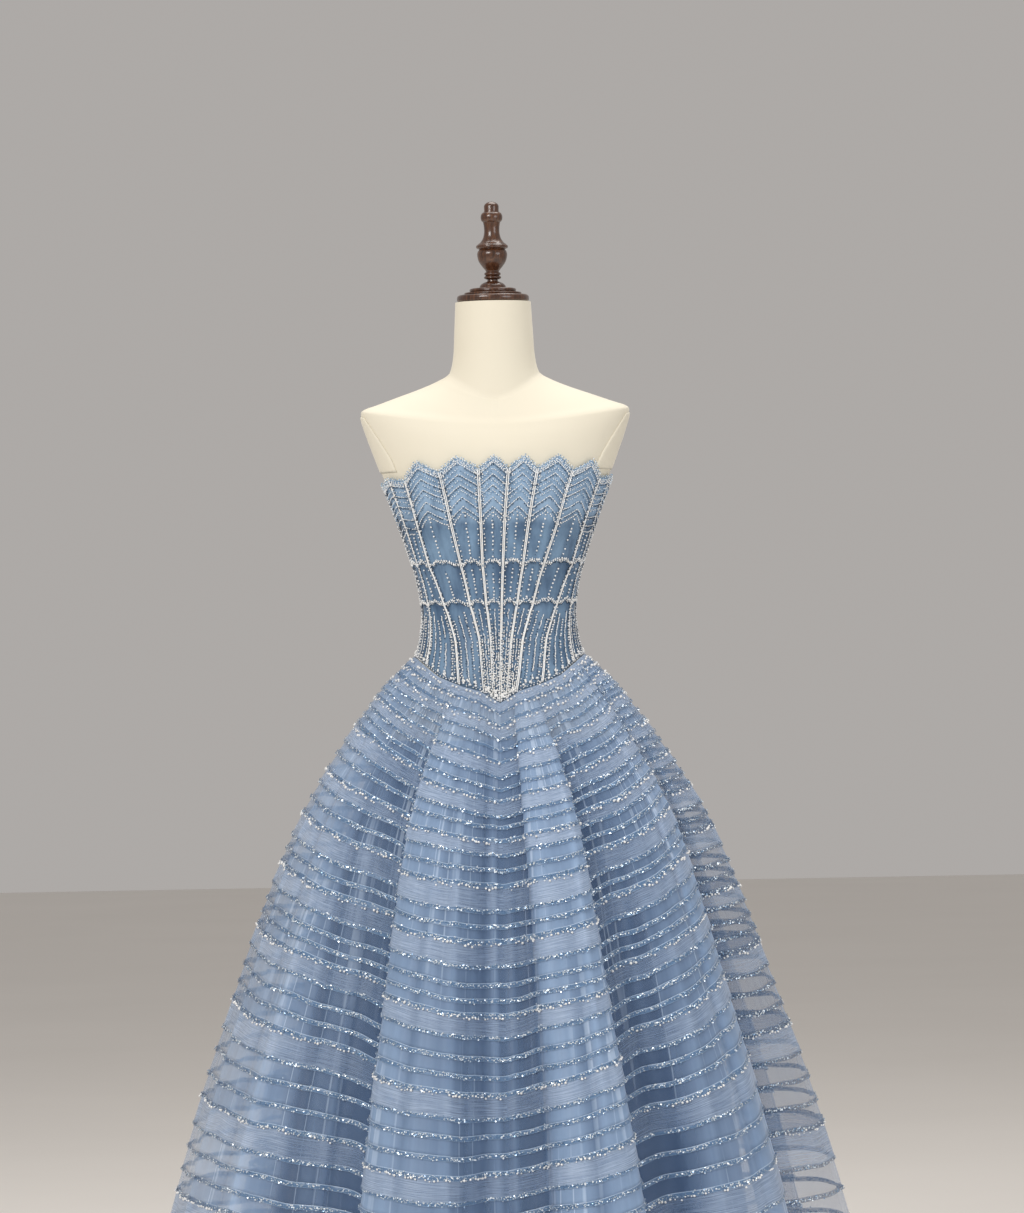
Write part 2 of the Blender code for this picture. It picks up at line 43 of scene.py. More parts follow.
# Dress form sections, bottom to top: height at side, front and back, half width, front depth, back depth
neckTop = 1.562
formTable = np.array([
    (0.800, 0.800, 0.800, 0.122, 0.080, 0.090),
    (0.806, 0.806, 0.806, 0.150, 0.098, 0.110),
    (0.830, 0.830, 0.830, 0.164, 0.106, 0.121),
    (0.875, 0.875, 0.875, 0.168, 0.107, 0.122),
    (0.920, 0.920, 0.920, 0.163, 0.104, 0.117),
    (0.960, 0.960, 0.960, 0.152, 0.099, 0.108),
    (1.005, 1.005, 1.005, 0.135, 0.092, 0.095),
    (1.056, 1.056, 1.056, 0.1135, 0.085, 0.083),
    (1.101, 1.101, 1.101, 0.1055, 0.080, 0.079),
    (1.132, 1.132, 1.132, 0.1070, 0.081, 0.080),
    (1.169, 1.169, 1.169, 0.1140, 0.087, 0.085),
    (1.215, 1.215, 1.215, 0.1285, 0.096, 0.091),
    (1.263, 1.263, 1.263, 0.1455, 0.103, 0.097),
    (1.299, 1.299, 1.299, 0.1595, 0.105, 0.100),
    (1.340, 1.340, 1.340, 0.1750, 0.102, 0.101),
    (1.378, 1.362, 1.374, 0.1885, 0.096, 0.097),
    (1.401, 1.378, 1.396, 0.1945, 0.089, 0.090),
    (1.409, 1.384, 1.404, 0.1900, 0.086, 0.087),
    (1.416, 1.391, 1.413, 0.1700, 0.081, 0.081),
    (1.426, 1.399, 1.424, 0.1420, 0.0765, 0.075),
    (1.438, 1.409, 1.437, 0.1080, 0.0705, 0.069),
    (1.449, 1.417, 1.449, 0.0820, 0.0655, 0.063),
    (1.460, 1.425, 1.461, 0.0655, 0.0610, 0.059),
    (1.484, 1.458, 1.485, 0.0592, 0.0580, 0.057),
    (1.520, 1.510, 1.520, 0.0570, 0.0565, 0.056),
    (neckTop, neckTop, neckTop, 0.0547, 0.0547, 0.0547),
])
bust = {"out": 0.009, "angle": 31.0, "spread": 17.0, "height": 1.240, "tall": 0.042, "aside": 0.5}
shoulderCurve = 1.6  # how late the form's levels rise from the front to the side

# Outline of the skirt, waist seam to hem: height at front and side, half width and half depth, fold depth
skirtTable = np.array([
    (0.9820, 1.047, 0.120, 0.102, 0.000),
    (0.9516, 1.010, 0.166, 0.138, 0.006),
    (0.8993, 0.945, 0.216, 0.188, 0.016),
    (0.8458, 0.873, 0.263, 0.237, 0.026),
    (0.7917, 0.806, 0.300, 0.281, 0.036),
    (0.7294, 0.735, 0.330, 0.318, 0.046),
    (0.6523, 0.654, 0.360, 0.355, 0.055),
    (0.5535, 0.5535, 0.394, 0.394, 0.064),
    (0.4477, 0.4477, 0.431, 0.432, 0.073),
    (0.3397, 0.3397, 0.463, 0.466, 0.081),
    (0.2275, 0.2275, 0.492, 0.494, 0.087),
    (0.1130, 0.1130, 0.519, 0.520, 0.092),
    (0.0100, 0.0100, 0.543, 0.543, 0.096),
])
# Where the tiers meet: height at the front and at the sides, and how much higher at the left than the middle
rowTable = np.array([
    (0.9820, 1.047, 0.000), (0.9516, 1.029, 0.000), (0.8993, 0.998, 0.000), (0.8458, 0.959, -0.002),
    (0.7917, 0.902, 0.008), (0.7294, 0.848, 0.015), (0.6523, 0.785, 0.022), (0.5535, 0.696, 0.024),
    (0.4477, 0.604, 0.036), (0.3397, 0.476, 0.046), (0.2275, 0.335, 0.040), (0.1130, 0.170, 0.020),
    (0.0100, 0.010, 0.000),
])
lastRow = len(rowTable) - 1.0
# The V waist: sine of the angle, and share of the rise; then how far it dips at the back
vSeam = np.array([(0.0, 0.0), (0.2, 0.26), (0.41, 0.39), (0.65, 0.58), (0.94, 0.94), (1.0, 1.0)])
backDip = 0.18
ridges = [  # the skirt's large folds: first and last angle, how far each stands
    (7.5, 22.0, 1.06), (30.0, 61.0, 0.94), (67.0, 102.0, 1.00), (108.0, 134.0, 0.92),
    (141.0, 163.0, 0.97), (169.0, 191.0, 0.90), (198.0, 222.0, 0.98), (228.0, 241.0, 0.92),
    (246.0, 321.0, 1.00), (332.0, 355.0, 0.96),
]
hollow = {"rise": -0.10, "corner": 3.0}  # between two large folds, and how square the folds are
fit = {
    "bodiceOff": 0.0025, "wall": 0.0020, "skirtOff": 0.0070, "turnTop": 6.0, "turnFrom": 0.985,
    "bodiceTop": 1.318,
}


def through(values, at):  # smooth curve through evenly numbered rows, read at many fractional places
    at = np.asarray(at, float)
    index = np.clip(np.floor(at).astype(int), 0, len(values) - 2)
    share = at - index
    padded = np.concatenate([values[:1] * 2 - values[1:2], values, values[-1:] * 2 - values[-2:-1]])
    own = (np.arange(len(at)),) if values.ndim > 2 else ()  # each place then has a curve of its own
    before, first, second, after = (padded[(index + step,) + own] for step in range(4))
    share = share.reshape((-1,) + (1,) * (first.ndim - 1))
    slopeIn, slopeOut = (second - before) * 0.5, (after - first) * 0.5
    square, cube = share**2, share**3
    return (first * (2 * cube - 3 * square + 1) + slopeIn * (cube - 2 * square + share)
            + second * (3 * square - 2 * cube) + slopeOut * (cube - square))


def paired(angle, place):
    return np.broadcast_arrays(np.asarray(angle, float), np.asarray(place, float))


def sineCosine(angle):
    return np.sin(np.radians(angle)), np.cos(np.radians(angle))


def blurred(values, reach, spread):  # values round a ring, softened
    steps = range(-reach, reach + 1)
    weights = np.exp(-((np.array(steps) / spread) ** 2))
    weights /= weights.sum()
    return sum(weight * np.roll(values, step) for weight, step in zip(weights, steps))


def placeOf(height):  # fractional row of the form table at a height
    return np.interp(height, formTable[:, 0], np.arange(len(formTable)))


def formAt(angle, place):
    angle, place = paired(angle, place)
    sine, cosine = sineCosine(angle)
    value = through(formTable, place)
    front = cosine > 0
    middle = np.where(front, value[:, 1], value[:, 2])
    depth = np.where(front, value[:, 4], value[:, 5])
    height = middle + (value[:, 0] - middle) * np.abs(sine) ** shoulderCurve
    turn = (angle + 180.0) % 360.0 - 180.0
    full = bust["out"] * np.exp(-(((height - bust["height"]) / bust["tall"]) ** 2))
    full = full * np.exp(-(((np.abs(turn) - bust["angle"]) / bust["spread"]) ** 2))
    return np.stack([value[:, 3] * sine + full * sine * bust["aside"], -(depth + full) * cosine, height], 1)


def unit(vectors):
    return vectors / np.maximum(np.linalg.norm(vectors, axis=1, keepdims=True), 1e-9)


def formNormal(angle, place):
    angle, place = paired(angle, place)
    roundStep = formAt(angle + 1.0, place) - formAt(angle - 1.0, place)
    last = len(formTable) - 1.0
    upStep = formAt(angle, np.minimum(place + 0.1, last)) - formAt(angle, np.maximum(place - 0.1, 0.0))
    return unit(np.cross(roundStep, upStep))


def offForm(angle, place, out):
    angle, place = paired(angle, place)
    return formAt(angle, place) + formNormal(angle, place) * np.reshape(out, (-1, 1))


def turned(angle, height):  # the bodice sits turned a little on the form
    share = (np.asarray(height) - fit["turnFrom"]) / (fit["bodiceTop"] - fit["turnFrom"])
    return np.asarray(angle) + fit["turnTop"] * np.clip(share, 0.0, 1.1)


def seamRise(angle):
    sine, cosine = sineCosine(angle)
    rise = np.interp(np.abs(sine), vSeam[:, 0], vSeam[:, 1])
    return np.where(cosine < 0, 1.0 - backDip * cosine**2, rise)


def seamHeight(angle):
    return skirtTable[0, 0] + (skirtTable[0, 1] - skirtTable[0, 0]) * seamRise(angle)


def makeRidgeCurve():  # ridge share round the skirt, with the corners eased
    fine = np.arange(0.0, 360.0, 0.25)
    share = np.zeros_like(fine)
    for index, (first, last, stand) in enumerate(ridges):
        along = ((fine - first) % 360.0) / (last - first)
        on = along <= 1.0
        share[on] = stand * (1.0 - np.abs(2.0 * along[on] - 1.0) ** hollow["corner"])
        following = ridges[(index + 1) % len(ridges)][0]
        gap = (following - last) % 360.0
        along = ((fine - last) % 360.0) / gap
        on = along < 1.0
        share[on] = hollow["rise"] * np.sin(np.pi * along[on])
    return fine, blurred(share, 8, 3.2)


ridgeAngles, ridgeCurve = makeRidgeCurve()


def ridgeShare(angle):
    return np.interp(np.asarray(angle) % 360.0, ridgeAngles, ridgeCurve, period=360.0)


# The folds fan out towards the hem: an angle at the hem, and the angle that the same fold has at the waist
fanTable = np.array([
    (0, 0), (9, 7.5), (28, 22), (36, 30), (62.5, 61), (80, 80), (300, 300), (330.5, 332), (345, 345),
    (360, 360),
])
fan = {"from": 4.0, "over": 8.0, "curve": 1.3}
rowCurve = {"smoothFrom": 4.0, "power": 1.5}  # where the rows lose the V's point, and their curve from there


def foldAngle(angle, place):
    angle = np.asarray(angle, float) % 360.0
    low = np.clip((np.asarray(place, float) - fan["from"]) / fan["over"], 0.0, 1.0) ** fan["curve"]
    return angle + (np.interp(angle, fanTable[:, 0], fanTable[:, 1]) - angle) * low


def rowHeight(angle, place):  # height at an angle and a fractional row
    sine, cosine = sineCosine(angle)
    sharp = seamRise(angle)
    smooth = np.where(cosine < 0, sharp, np.abs(sine) ** rowCurve["power"])
    index = np.clip(np.floor(place).astype(int), 0, len(rowTable) - 2)
    heights = []
    for row in (index, index + 1):
        rise = sharp + (smooth - sharp) * np.minimum(row / rowCurve["smoothFrom"], 1.0)
        heights.append(rowTable[row, 0] + (rowTable[row, 1] - rowTable[row, 0]) * rise
                       + rowTable[row, 2] * sine)
    return heights[0] + (heights[1] - heights[0]) * (place - index)


def skirtAt(angle, place):
    angle, place = paired(angle, place)
    sine, cosine = sineCosine(angle)
    rise, ridge = seamRise(angle), ridgeShare(foldAngle(angle, place))
    points = [offForm(angle, placeOf(seamHeight(angle)), fit["skirtOff"])]
    for halfWidth, halfDepth, fold in skirtTable[1:, 2:]:
        shrink = 1.0 - fold * (1.0 - ridge) / halfWidth
        points.append(np.stack([halfWidth * shrink * sine, -halfDepth * shrink * cosine, 0.0 * sine], 1))
    height = rowHeight(angle, place)
    section = np.zeros(len(angle))
    for above, below in zip(skirtTable, skirtTable[1:]):
        upper = above[0] + (above[1] - above[0]) * rise
        lower = below[0] + (below[1] - below[0]) * rise
        section = section + np.clip((upper - height) / (upper - lower), 0.0, 1.0)
    found = through(np.stack(points), section)
    found[:, 2] = height + (points[0][:, 2] - seamHeight(angle)) * np.clip(1.0 - place, 0.0, 1.0)
    return found


def skirtNormal(angle, place):
    angle, place = paired(angle, place)
    roundStep = skirtAt(angle + 0.4, place) - skirtAt(angle - 0.4, place)
    downStep = skirtAt(angle, np.minimum(place + 0.05, lastRow)) - skirtAt(angle,
                                                                           np.maximum(place - 0.05, 0.0))
    return unit(np.cross(downStep, roundStep))


class Link:  # one socket, with Python's operators for shader maths
    def __init__(self, tree, socket):
        self.tree, self.socket = tree, socket

    def math(self, operation, *others):
        node = self.tree.nodes.new("ShaderNodeMath")
        node.operation = operation
        for slot, value in zip(node.inputs, (self,) + others):
            if isinstance(value, Link):
                self.tree.links.new(value.socket, slot)
            else:
                slot.default_value = value
        return Link(self.tree, node.outputs[0])

    def clamped(self):
        return self.math("MINIMUM", 1.0).math("MAXIMUM", 0.0)

    def __add__(self, other):
        return self.math("ADD", other)

    __radd__ = __add__

    def __mul__(self, other):
        return self.math("MULTIPLY", other)

    __rmul__ = __mul__

    def __sub__(self, other):
        return self.math("SUBTRACT", other)

    def __rsub__(self, other):
        return (self * -1.0).math("ADD", other)


def addNode(tree, kind, settings, inputs, output=0):
    node = tree.nodes.new(kind)
    for key, value in settings.items():
        if key == "stops":
            ramp = node.color_ramp
            while len(ramp.elements) < len(value):
                ramp.elements.new(0.5)
            for element, (position, colour) in zip(ramp.elements, value):
                element.position = position
                element.color = (*colour, 1.0)
        else:
            setattr(node, key, value)
    for key, value in inputs.items():
        slot = node.inputs[key]
        if isinstance(value, Link):
            tree.links.new(value.socket, slot)
        else:
            slot.default_value = value
    return Link(tree, node.outputs[output])


def newMaterial(name, constants):
    material = bpy.data.materials.new(name)
    material.use_nodes = True
    tree = material.node_tree
    shader = tree.nodes["Principled BSDF"]
    for key, value in constants.items():
        shader.inputs[key].default_value = value
    return material, tree, shader


def feed(tree, shader, **links):
    for key, link in links.items():
        tree.links.new(link.socket, shader.inputs[key.replace("_", " ")])


def objectCoords(tree, scale=(1, 1, 1)):
    coords = addNode(tree, "ShaderNodeTexCoord", {}, {}, "Object")
    return addNode(tree, "ShaderNodeMapping", {}, {"Vector": coords, "Scale": scale})


def uvCoords(tree, scale=(1, 1, 1)):
    coords = addNode(tree, "ShaderNodeTexCoord", {}, {}, "UV")
    return addNode(tree, "ShaderNodeMapping", {}, {"Vector": coords, "Scale": scale})


def noise(tree, coords, scale, detail=3.0):
    inputs = {"Vector": coords, "Scale": scale, "Detail": detail, "Roughness": 0.55}
    return addNode(tree, "ShaderNodeTexNoise", {}, inputs)


def mixColour(tree, factor, first, second):
    return addNode(tree, "ShaderNodeMix", {"data_type": "RGBA"}, {0: factor, 6: first, 7: second}, 2)


def ramp(tree, value, stops):
    return addNode(tree, "ShaderNodeValToRGB", {"stops": stops}, {"Fac": value})


def greyRamp(tree, value, *stops):  # each stop is a position and a grey
    return ramp(tree, value, [(position, (grey,) * 3) for position, grey in stops])


def bump(tree, height, strength, distance):
    return addNode(tree, "ShaderNodeBump", {}, {"Height": height, "Strength": strength, "Distance": distance})


def onCloth(tree, name):  # a value that the cloth's points carry: fold (painted shade of the large folds) or sheer
    return addNode(tree, "ShaderNodeAttribute", {"attribute_name": name}, {}, "Fac")


def meshFrom(name, points, faces, material, uv=None):
    mesh = bpy.data.meshes.new(name)
    mesh.from_pydata([tuple(p) for p in points], [], [tuple(int(i) for i in f) for f in faces])
    mesh.materials.append(material)
    if uv is not None:
        layer = mesh.uv_layers.new(name="cloth")
        index = np.empty(len(mesh.loops), int)
        mesh.loops.foreach_get("vertex_index", index)
        layer.data.foreach_set("uv", np.asarray(uv, float)[index].ravel())
    mesh.shade_smooth()
    return linked(name, mesh)


def linked(name, data):
    made = bpy.data.objects.new(name, data)
    bpy.context.scene.collection.objects.link(made)
    return made


def gridFaces(rows, columns, ring):
    faces = []
    for row in range(rows - 1):
        for column in range(columns if ring else columns - 1):
            here, there = row * columns + column, row * columns + (column + 1) % columns
            faces.append((here, here + columns, there + columns, there))
    return faces


def applyModifiers(made):
    graph = bpy.context.evaluated_depsgraph_get()
    mesh = bpy.data.meshes.new_from_object(made.evaluated_get(graph))
    made.modifiers.clear()
    old = made.data
    made.data = mesh
    mesh.name = made.name
    bpy.data.meshes.remove(old)
    return made


def faceOut(made):
    work = bmesh.new()
    work.from_mesh(made.data)
    bmesh.ops.recalc_face_normals(work, faces=work.faces)
    work.to_mesh(made.data)
    work.free()
    return made


def thicken(made, wall):
    shell = made.modifiers.new("wall", "SOLIDIFY")
    shell.thickness = wall
    shell.offset = -1.0
    return applyModifiers(made)


def turnedMesh(name, profile, sides, material):
    turns = [math.tau * side / sides for side in range(sides)]
    points = [(radius * math.cos(turn), radius * math.sin(turn), height) for radius, height in profile
              for turn in turns]
    ends = [tuple(range(sides)), tuple(range((len(profile) - 1) * sides, len(profile) * sides))]
    faces = gridFaces(len(profile), sides, True) + ends
    made = faceOut(meshFrom(name, points, faces, material))
    made.data.set_sharp_from_angle(angle=math.radians(38))
    return made


def arcPoints(low, high, radius, neck, count=7):  # half-round bead of a turned profile
    middle, half = (low + high) / 2, (high - low) / 2
    turns = [math.pi * (step + 0.5) / count for step in range(count)]
    return [(neck + (radius - neck) * math.sin(turn), middle - half * math.cos(turn)) for turn in turns]


def smoothed(profile, count):  # radius and height pairs
    return [tuple(p) for p in through(np.array(profile), np.linspace(0, len(profile) - 1, count))]


def makeCanvas():
    canvas = {"light": (0.820, 0.775, 0.645, 1), "warm": (0.785, 0.725, 0.585, 1), "threads": 1500.0}
    material, tree, shader = newMaterial("creamCanvas", {"Roughness": 0.82, "Sheen Weight": 0.25,
                                                         "Sheen Roughness": 0.4, "Specular IOR Level": 0.25})
    coords = objectCoords(tree)
    cloud = noise(tree, coords, 9.0)
    weave = addNode(tree, "ShaderNodeTexVoronoi", {}, {"Vector": coords, "Scale": canvas["threads"]})
    tone = mixColour(tree, cloud * 0.55, canvas["light"], canvas["warm"])
    feed(tree, shader, Base_Color=tone, Normal=bump(tree, weave, 0.10, 0.0003))
    return material


def makeWalnut():
    walnut = {"dark": (0.018, 0.006, 0.002), "mid": (0.070, 0.024, 0.009), "light": (0.165, 0.070, 0.028)}
    material, tree, shader = newMaterial("walnut", {"Coat Weight": 0.55, "Coat Roughness": 0.12})
    coords = objectCoords(tree, (1.0, 1.0, 0.14))
    grain = addNode(tree, "ShaderNodeTexNoise", {}, {"Vector": coords, "Scale": 190.0, "Detail": 6.0,
                                                     "Roughness": 0.62, "Distortion": 1.6})
    pores = noise(tree, objectCoords(tree, (1.0, 1.0, 0.05)), 1400.0, 2.0)
    tone = ramp(tree, grain, [(0.28, walnut["dark"]), (0.52, walnut["mid"]), (0.74, walnut["light"])])
    rough = pores * 0.22 + 0.20
    feed(tree, shader, Base_Color=tone, Roughness=rough, Normal=bump(tree, pores, 0.12, 0.0004))
    return material


def makeOrganza():
    organza = {"pale": (0.40, 0.565, 0.82, 1), "deep": (0.075, 0.15, 0.30, 1), "edge": (0.62, 0.74, 0.90, 1)}
    material, tree, shader = newMaterial("sheerOrganza", {"Sheen Weight": 0.30, "Sheen Roughness": 0.35,
                                                          "Specular IOR Level": 0.35})
    coords = uvCoords(tree)
    streaks = noise(tree, uvCoords(tree, (38.0, 1.6, 1.0)), 1.0, 3.0)
    cloud = noise(tree, coords, 11.0)
    veins = noise(tree, uvCoords(tree, (24.0, 0.55, 1.0)), 1.0, 1.5)
    patches = noise(tree, uvCoords(tree, (9.0, 3.0, 1.0)), 1.0, 1.0)
    line = greyRamp(tree, (veins - 0.5).math("ABSOLUTE"), (0.0, 1.0), (0.010, 0.8), (0.022, 0.0))
    line = line * greyRamp(tree, patches, (0.42, 0.0), (0.60, 1.0))
    fold, sheer = onCloth(tree, "fold"), onCloth(tree, "sheer")
    # fold paints shade into the colour: deep in the hollows between the large folds, pale on the folds
    factor = (fold * 0.84 + streaks * 0.34 + cloud * 0.34 - 0.32).clamped()
    tone = mixColour(tree, factor, organza["deep"], organza["pale"])
    tone = mixColour(tree, line * 0.5, tone, organza["edge"])
    solid = streaks * 0.18 + fold * 0.38 + line * 0.20 + 0.26
    alpha = (solid * (1.0 - sheer * 0.62)).math("MINIMUM", 1.0)
    feed(tree, shader, Base_Color=tone, Alpha=alpha, Roughness=cloud * 0.2 + 0.38,
         Normal=bump(tree, streaks, 0.25, 0.002))
    return material


def makeTape():
    tape = {"edge": (0.50, 0.64, 0.82, 1), "middle": (0.125, 0.235, 0.41, 1),
            "seenThrough": (0.055, 0.105, 0.20, 1)}
    material, tree, shader = newMaterial("trimTape", {"Roughness": 0.35, "Sheen Weight": 0.3})
    coords = addNode(tree, "ShaderNodeTexCoord", {}, {}, "UV")
    across = addNode(tree, "ShaderNodeSeparateXYZ", {}, {0: coords}, 1)
    spark = noise(tree, uvCoords(tree, (420.0, 3.0, 1.0)), 1.0, 2.0)
    edge = greyRamp(tree, across, (0.10, 0.9), (0.24, 0.0), (0.90, 0.0), (0.97, 0.4))
    sheer = onCloth(tree, "sheer")
    tone = mixColour(tree, edge, tape["middle"], tape["edge"])
    tone = mixColour(tree, sheer * 0.75, tone, tape["seenThrough"])
    alpha = (spark * 0.7 + 0.38) * (1.0 - sheer * 0.25)
    feed(tree, shader, Base_Color=tone, Alpha=alpha.math("MINIMUM", 1.0), Roughness=spark * 0.2 + 0.25)
    return material


def makeCrinkle():
    crinkle = {"pale": (0.565, 0.69, 0.88, 1), "deep": (0.105, 0.19, 0.35, 1)}
    material, tree, shader = newMaterial("crinkledRibbon", {"Sheen Weight": 0.35, "Sheen Roughness": 0.3})
    lines = noise(tree, uvCoords(tree, (16.0, 820.0, 1.0)), 1.0, 3.5)
    lines = greyRamp(tree, lines, (0.34, 0.0), (0.70, 1.0))
    streaks = noise(tree, uvCoords(tree, (55.0, 5.0, 1.0)), 1.0, 3.0)
    fold, sheer = onCloth(tree, "fold"), onCloth(tree, "sheer")
    # fold paints shade into the colour: deep in the hollows between the large folds, pale on the folds
    factor = (lines * 0.26 + streaks * 0.32 + fold * 0.66 - 0.14).clamped()
    tone = mixColour(tree, factor, crinkle["deep"], crinkle["pale"])
    alpha = (lines * 0.34 + fold * 0.14 + 0.30) * (1.0 - sheer * 0.30)
    feed(tree, shader, Base_Color=tone, Alpha=alpha.math("MINIMUM", 1.0),
         Roughness=lines * 0.25 + 0.30, Normal=bump(tree, lines, 0.45, 0.0008))
    return material


def makeSatin():
    satin = {"light": (0.205, 0.335, 0.495, 1), "deep": (0.040, 0.092, 0.180, 1),
             "top": (0.33, 0.48, 0.66, 1)}
    material, tree, shader = newMaterial("blueSatin", {"Sheen Weight": 0.3, "Sheen Roughness": 0.3,
                                                       "Anisotropic": 0.4})
    cloud = noise(tree, objectCoords(tree, (1.0, 1.0, 0.30)), 46.0, 4.0)
    weave = noise(tree, objectCoords(tree), 2400.0, 1.0)
    height = addNode(tree, "ShaderNodeSeparateXYZ", {}, {0: objectCoords(tree)}, 2)
    level = (height - 1.0) * 3.0
    # the satin darkens under the zigzags and under each ruched row
    shade = greyRamp(tree, level, (0.0, 0.75), (0.34, 0.45), (0.37, 0.05), (0.385, 0.62), (0.50, 0.30),
                     (0.545, 0.0),
                     (0.56, 0.75), (0.69, 0.55), (0.72, 0.12), (0.74, 0.6))
    clouded = greyRamp(tree, cloud, (0.34, 0.0), (0.66, 1.0))
    factor = (shade * 0.55 + clouded * 0.65 - 0.10).clamped()
    tone = mixColour(tree, factor, satin["deep"], satin["light"])
    top = greyRamp(tree, level, (0.70, 0.0), (0.78, 1.0)) * (clouded * 0.5 + 0.4)
    tone = mixColour(tree, top, tone, satin["top"])
    feed(tree, shader, Base_Color=tone, Roughness=cloud * 0.2 + 0.36,
         Normal=bump(tree, cloud + weave * 0.1, 0.2, 0.002))
    return material


def makeLining():
    lining = {"light": (0.13, 0.20, 0.34, 1), "deep": (0.055, 0.10, 0.20, 1)}
    material, tree, shader = newMaterial("deepBlueLining", {"Sheen Weight": 0.2})
    folds = noise(tree, uvCoords(tree, (30.0, 1.2, 1.0)), 1.0, 3.0)
    # folds also paints shade into the colour: deep where the bump sinks, lighter where it rises
    tone = mixColour(tree, folds, lining["deep"], lining["light"])
    feed(tree, shader, Base_Color=tone, Roughness=folds * 0.2 + 0.45, Normal=bump(tree, folds, 0.3, 0.003))
    return material


def makeBead(name, first, second, constants, scale=260.0):
    material, tree, shader = newMaterial(name, constants)
    pick = noise(tree, objectCoords(tree), scale, 0.0)
    tone = mixColour(tree, greyRamp(tree, pick, (0.42, 0.0), (0.58, 1.0)), (*first, 1), (*second, 1))
    feed(tree, shader, Base_Color=tone, Roughness=pick * 0.2 + 0.10)
    return material


def makeSteel(name, tint, rough):
    material, tree, shader = newMaterial(name, {"Metallic": 1.0, "Base Color": (*tint, 1)})
    lines = noise(tree, objectCoords(tree, (1.0, 1.0, 60.0)), 90.0, 2.0)
    feed(tree, shader, Roughness=lines * 0.2 + rough, Normal=bump(tree, lines, 0.05, 0.0003))
    return material


finishes = {
    "canvas": makeCanvas(),
    "walnut": makeWalnut(),
    "organza": makeOrganza(),
    "crinkle": makeCrinkle(),
    "tape": makeTape(),
    "sequin": makeBead("sequinMix", (0.16, 0.29, 0.46), (0.86, 0.93, 0.98),
                       {"Metallic": 0.35, "Coat Weight": 0.6}, 420.0),
    "satin": makeSatin(),
    "lining": makeLining(),
    "pearl": makeBead("pearl", (0.96, 0.96, 0.95), (0.84, 0.85, 0.84),
                      {"Coat Weight": 0.6, "Coat Roughness": 0.1}, 130.0),
    "cream": makeBead("creamBugle", (0.97, 0.96, 0.93), (0.90, 0.93, 0.95), {"Coat Weight": 0.5}),
    "silver": makeBead("silverGlass", (0.78, 0.88, 0.96), (0.95, 0.97, 0.98), {"Coat Weight": 0.8}),
    "ink": makeBead("inkGlass", (0.020, 0.050, 0.10), (0.09, 0.17, 0.28), {"Coat Weight": 0.8}),
    "sky": makeBead("skyGlass", (0.22, 0.38, 0.58), (0.42, 0.58, 0.74), {"Coat Weight": 0.8}),
    "steel": makeSteel("brushedSteel", (0.56, 0.56, 0.57), 0.22),
    "zipMetal": makeSteel("zipMetal", (0.66, 0.68, 0.72), 0.15),
}
print("finishes made", len(finishes))


def finishOff(made, slot, *nodes):
    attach(made, "root")
    if nodes:
        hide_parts(*nodes)
    return made


def makeCamera():
    view = {"away": 8.0, "height": 1.130, "aside": 0.0194, "lean": 1.05, "tilt": 0.0675, "lens": 163.8}
    camera = linked("camera", bpy.data.cameras.new("camera"))
    camera.data.lens = view["lens"]
    camera.data.sensor_width = 36.0
    camera.data.clip_end = 60.0
    camera.matrix_world = (Matrix.Translation((view["aside"], -view["away"], view["height"]))
                           @ Matrix.Rotation(math.radians(90 - view["tilt"]), 4, "X")
                           @ Matrix.Rotation(math.radians(-view["lean"]), 4, "Z"))
    bpy.context.scene.camera = camera


def makeLight(name, place, aim, size, power, tint):
    lamp = bpy.data.lights.new(name, "AREA")
    lamp.shape = "RECTANGLE"
    lamp.size, lamp.size_y = size
    lamp.energy = power
    lamp.color = tint
    turn = (Vector(aim) - Vector(place)).to_track_quat("-Z", "Y").to_matrix().to_4x4()
    linked(name, lamp).matrix_world = Matrix.Translation(place) @ turn


def makeStudio():
    floorMaterial, tree, shader = newMaterial("paleFloor", {"Roughness": 0.6})
    cloud = noise(tree, objectCoords(tree), 1.2, 3.0)
    feed(tree, shader, Base_Color=mixColour(tree, cloud, (0.80, 0.77, 0.73, 1), (0.86, 0.83, 0.79, 1)))
    half = 14.0
    corners = [(-half, -half, 0), (half, -half, 0), (half, half, 0), (-half, half, 0)]
    meshFrom("floor", corners, [(0, 1, 2, 3)], floorMaterial)
    makeLight("keyLight", (-2.6, -4.2, 3.6), (0, 0, 0.9), (2.2, 1.6), 138.0, (1.0, 0.975, 0.95))
    makeLight("fillLight", (3.4, -3.6, 2.2), (0, 0, 0.8), (2.4, 2.0), 52.0, (0.95, 0.97, 1.0))
    makeLight("topLight", (0.3, 0.6, 4.4), (0, 0, 1.0), (2.6, 2.6), 84.0, (1.0, 0.97, 0.93))
    world = bpy.data.worlds.new("studio")
    bpy.context.scene.world = world
    world.use_nodes = True
    world.node_tree.nodes["Background"].inputs["Color"].default_value = (0.42, 0.40, 0.385, 1)
    bpy.context.scene.view_settings.view_transform = "Standard"


makeCamera()
makeStudio()
print("camera and studio set")


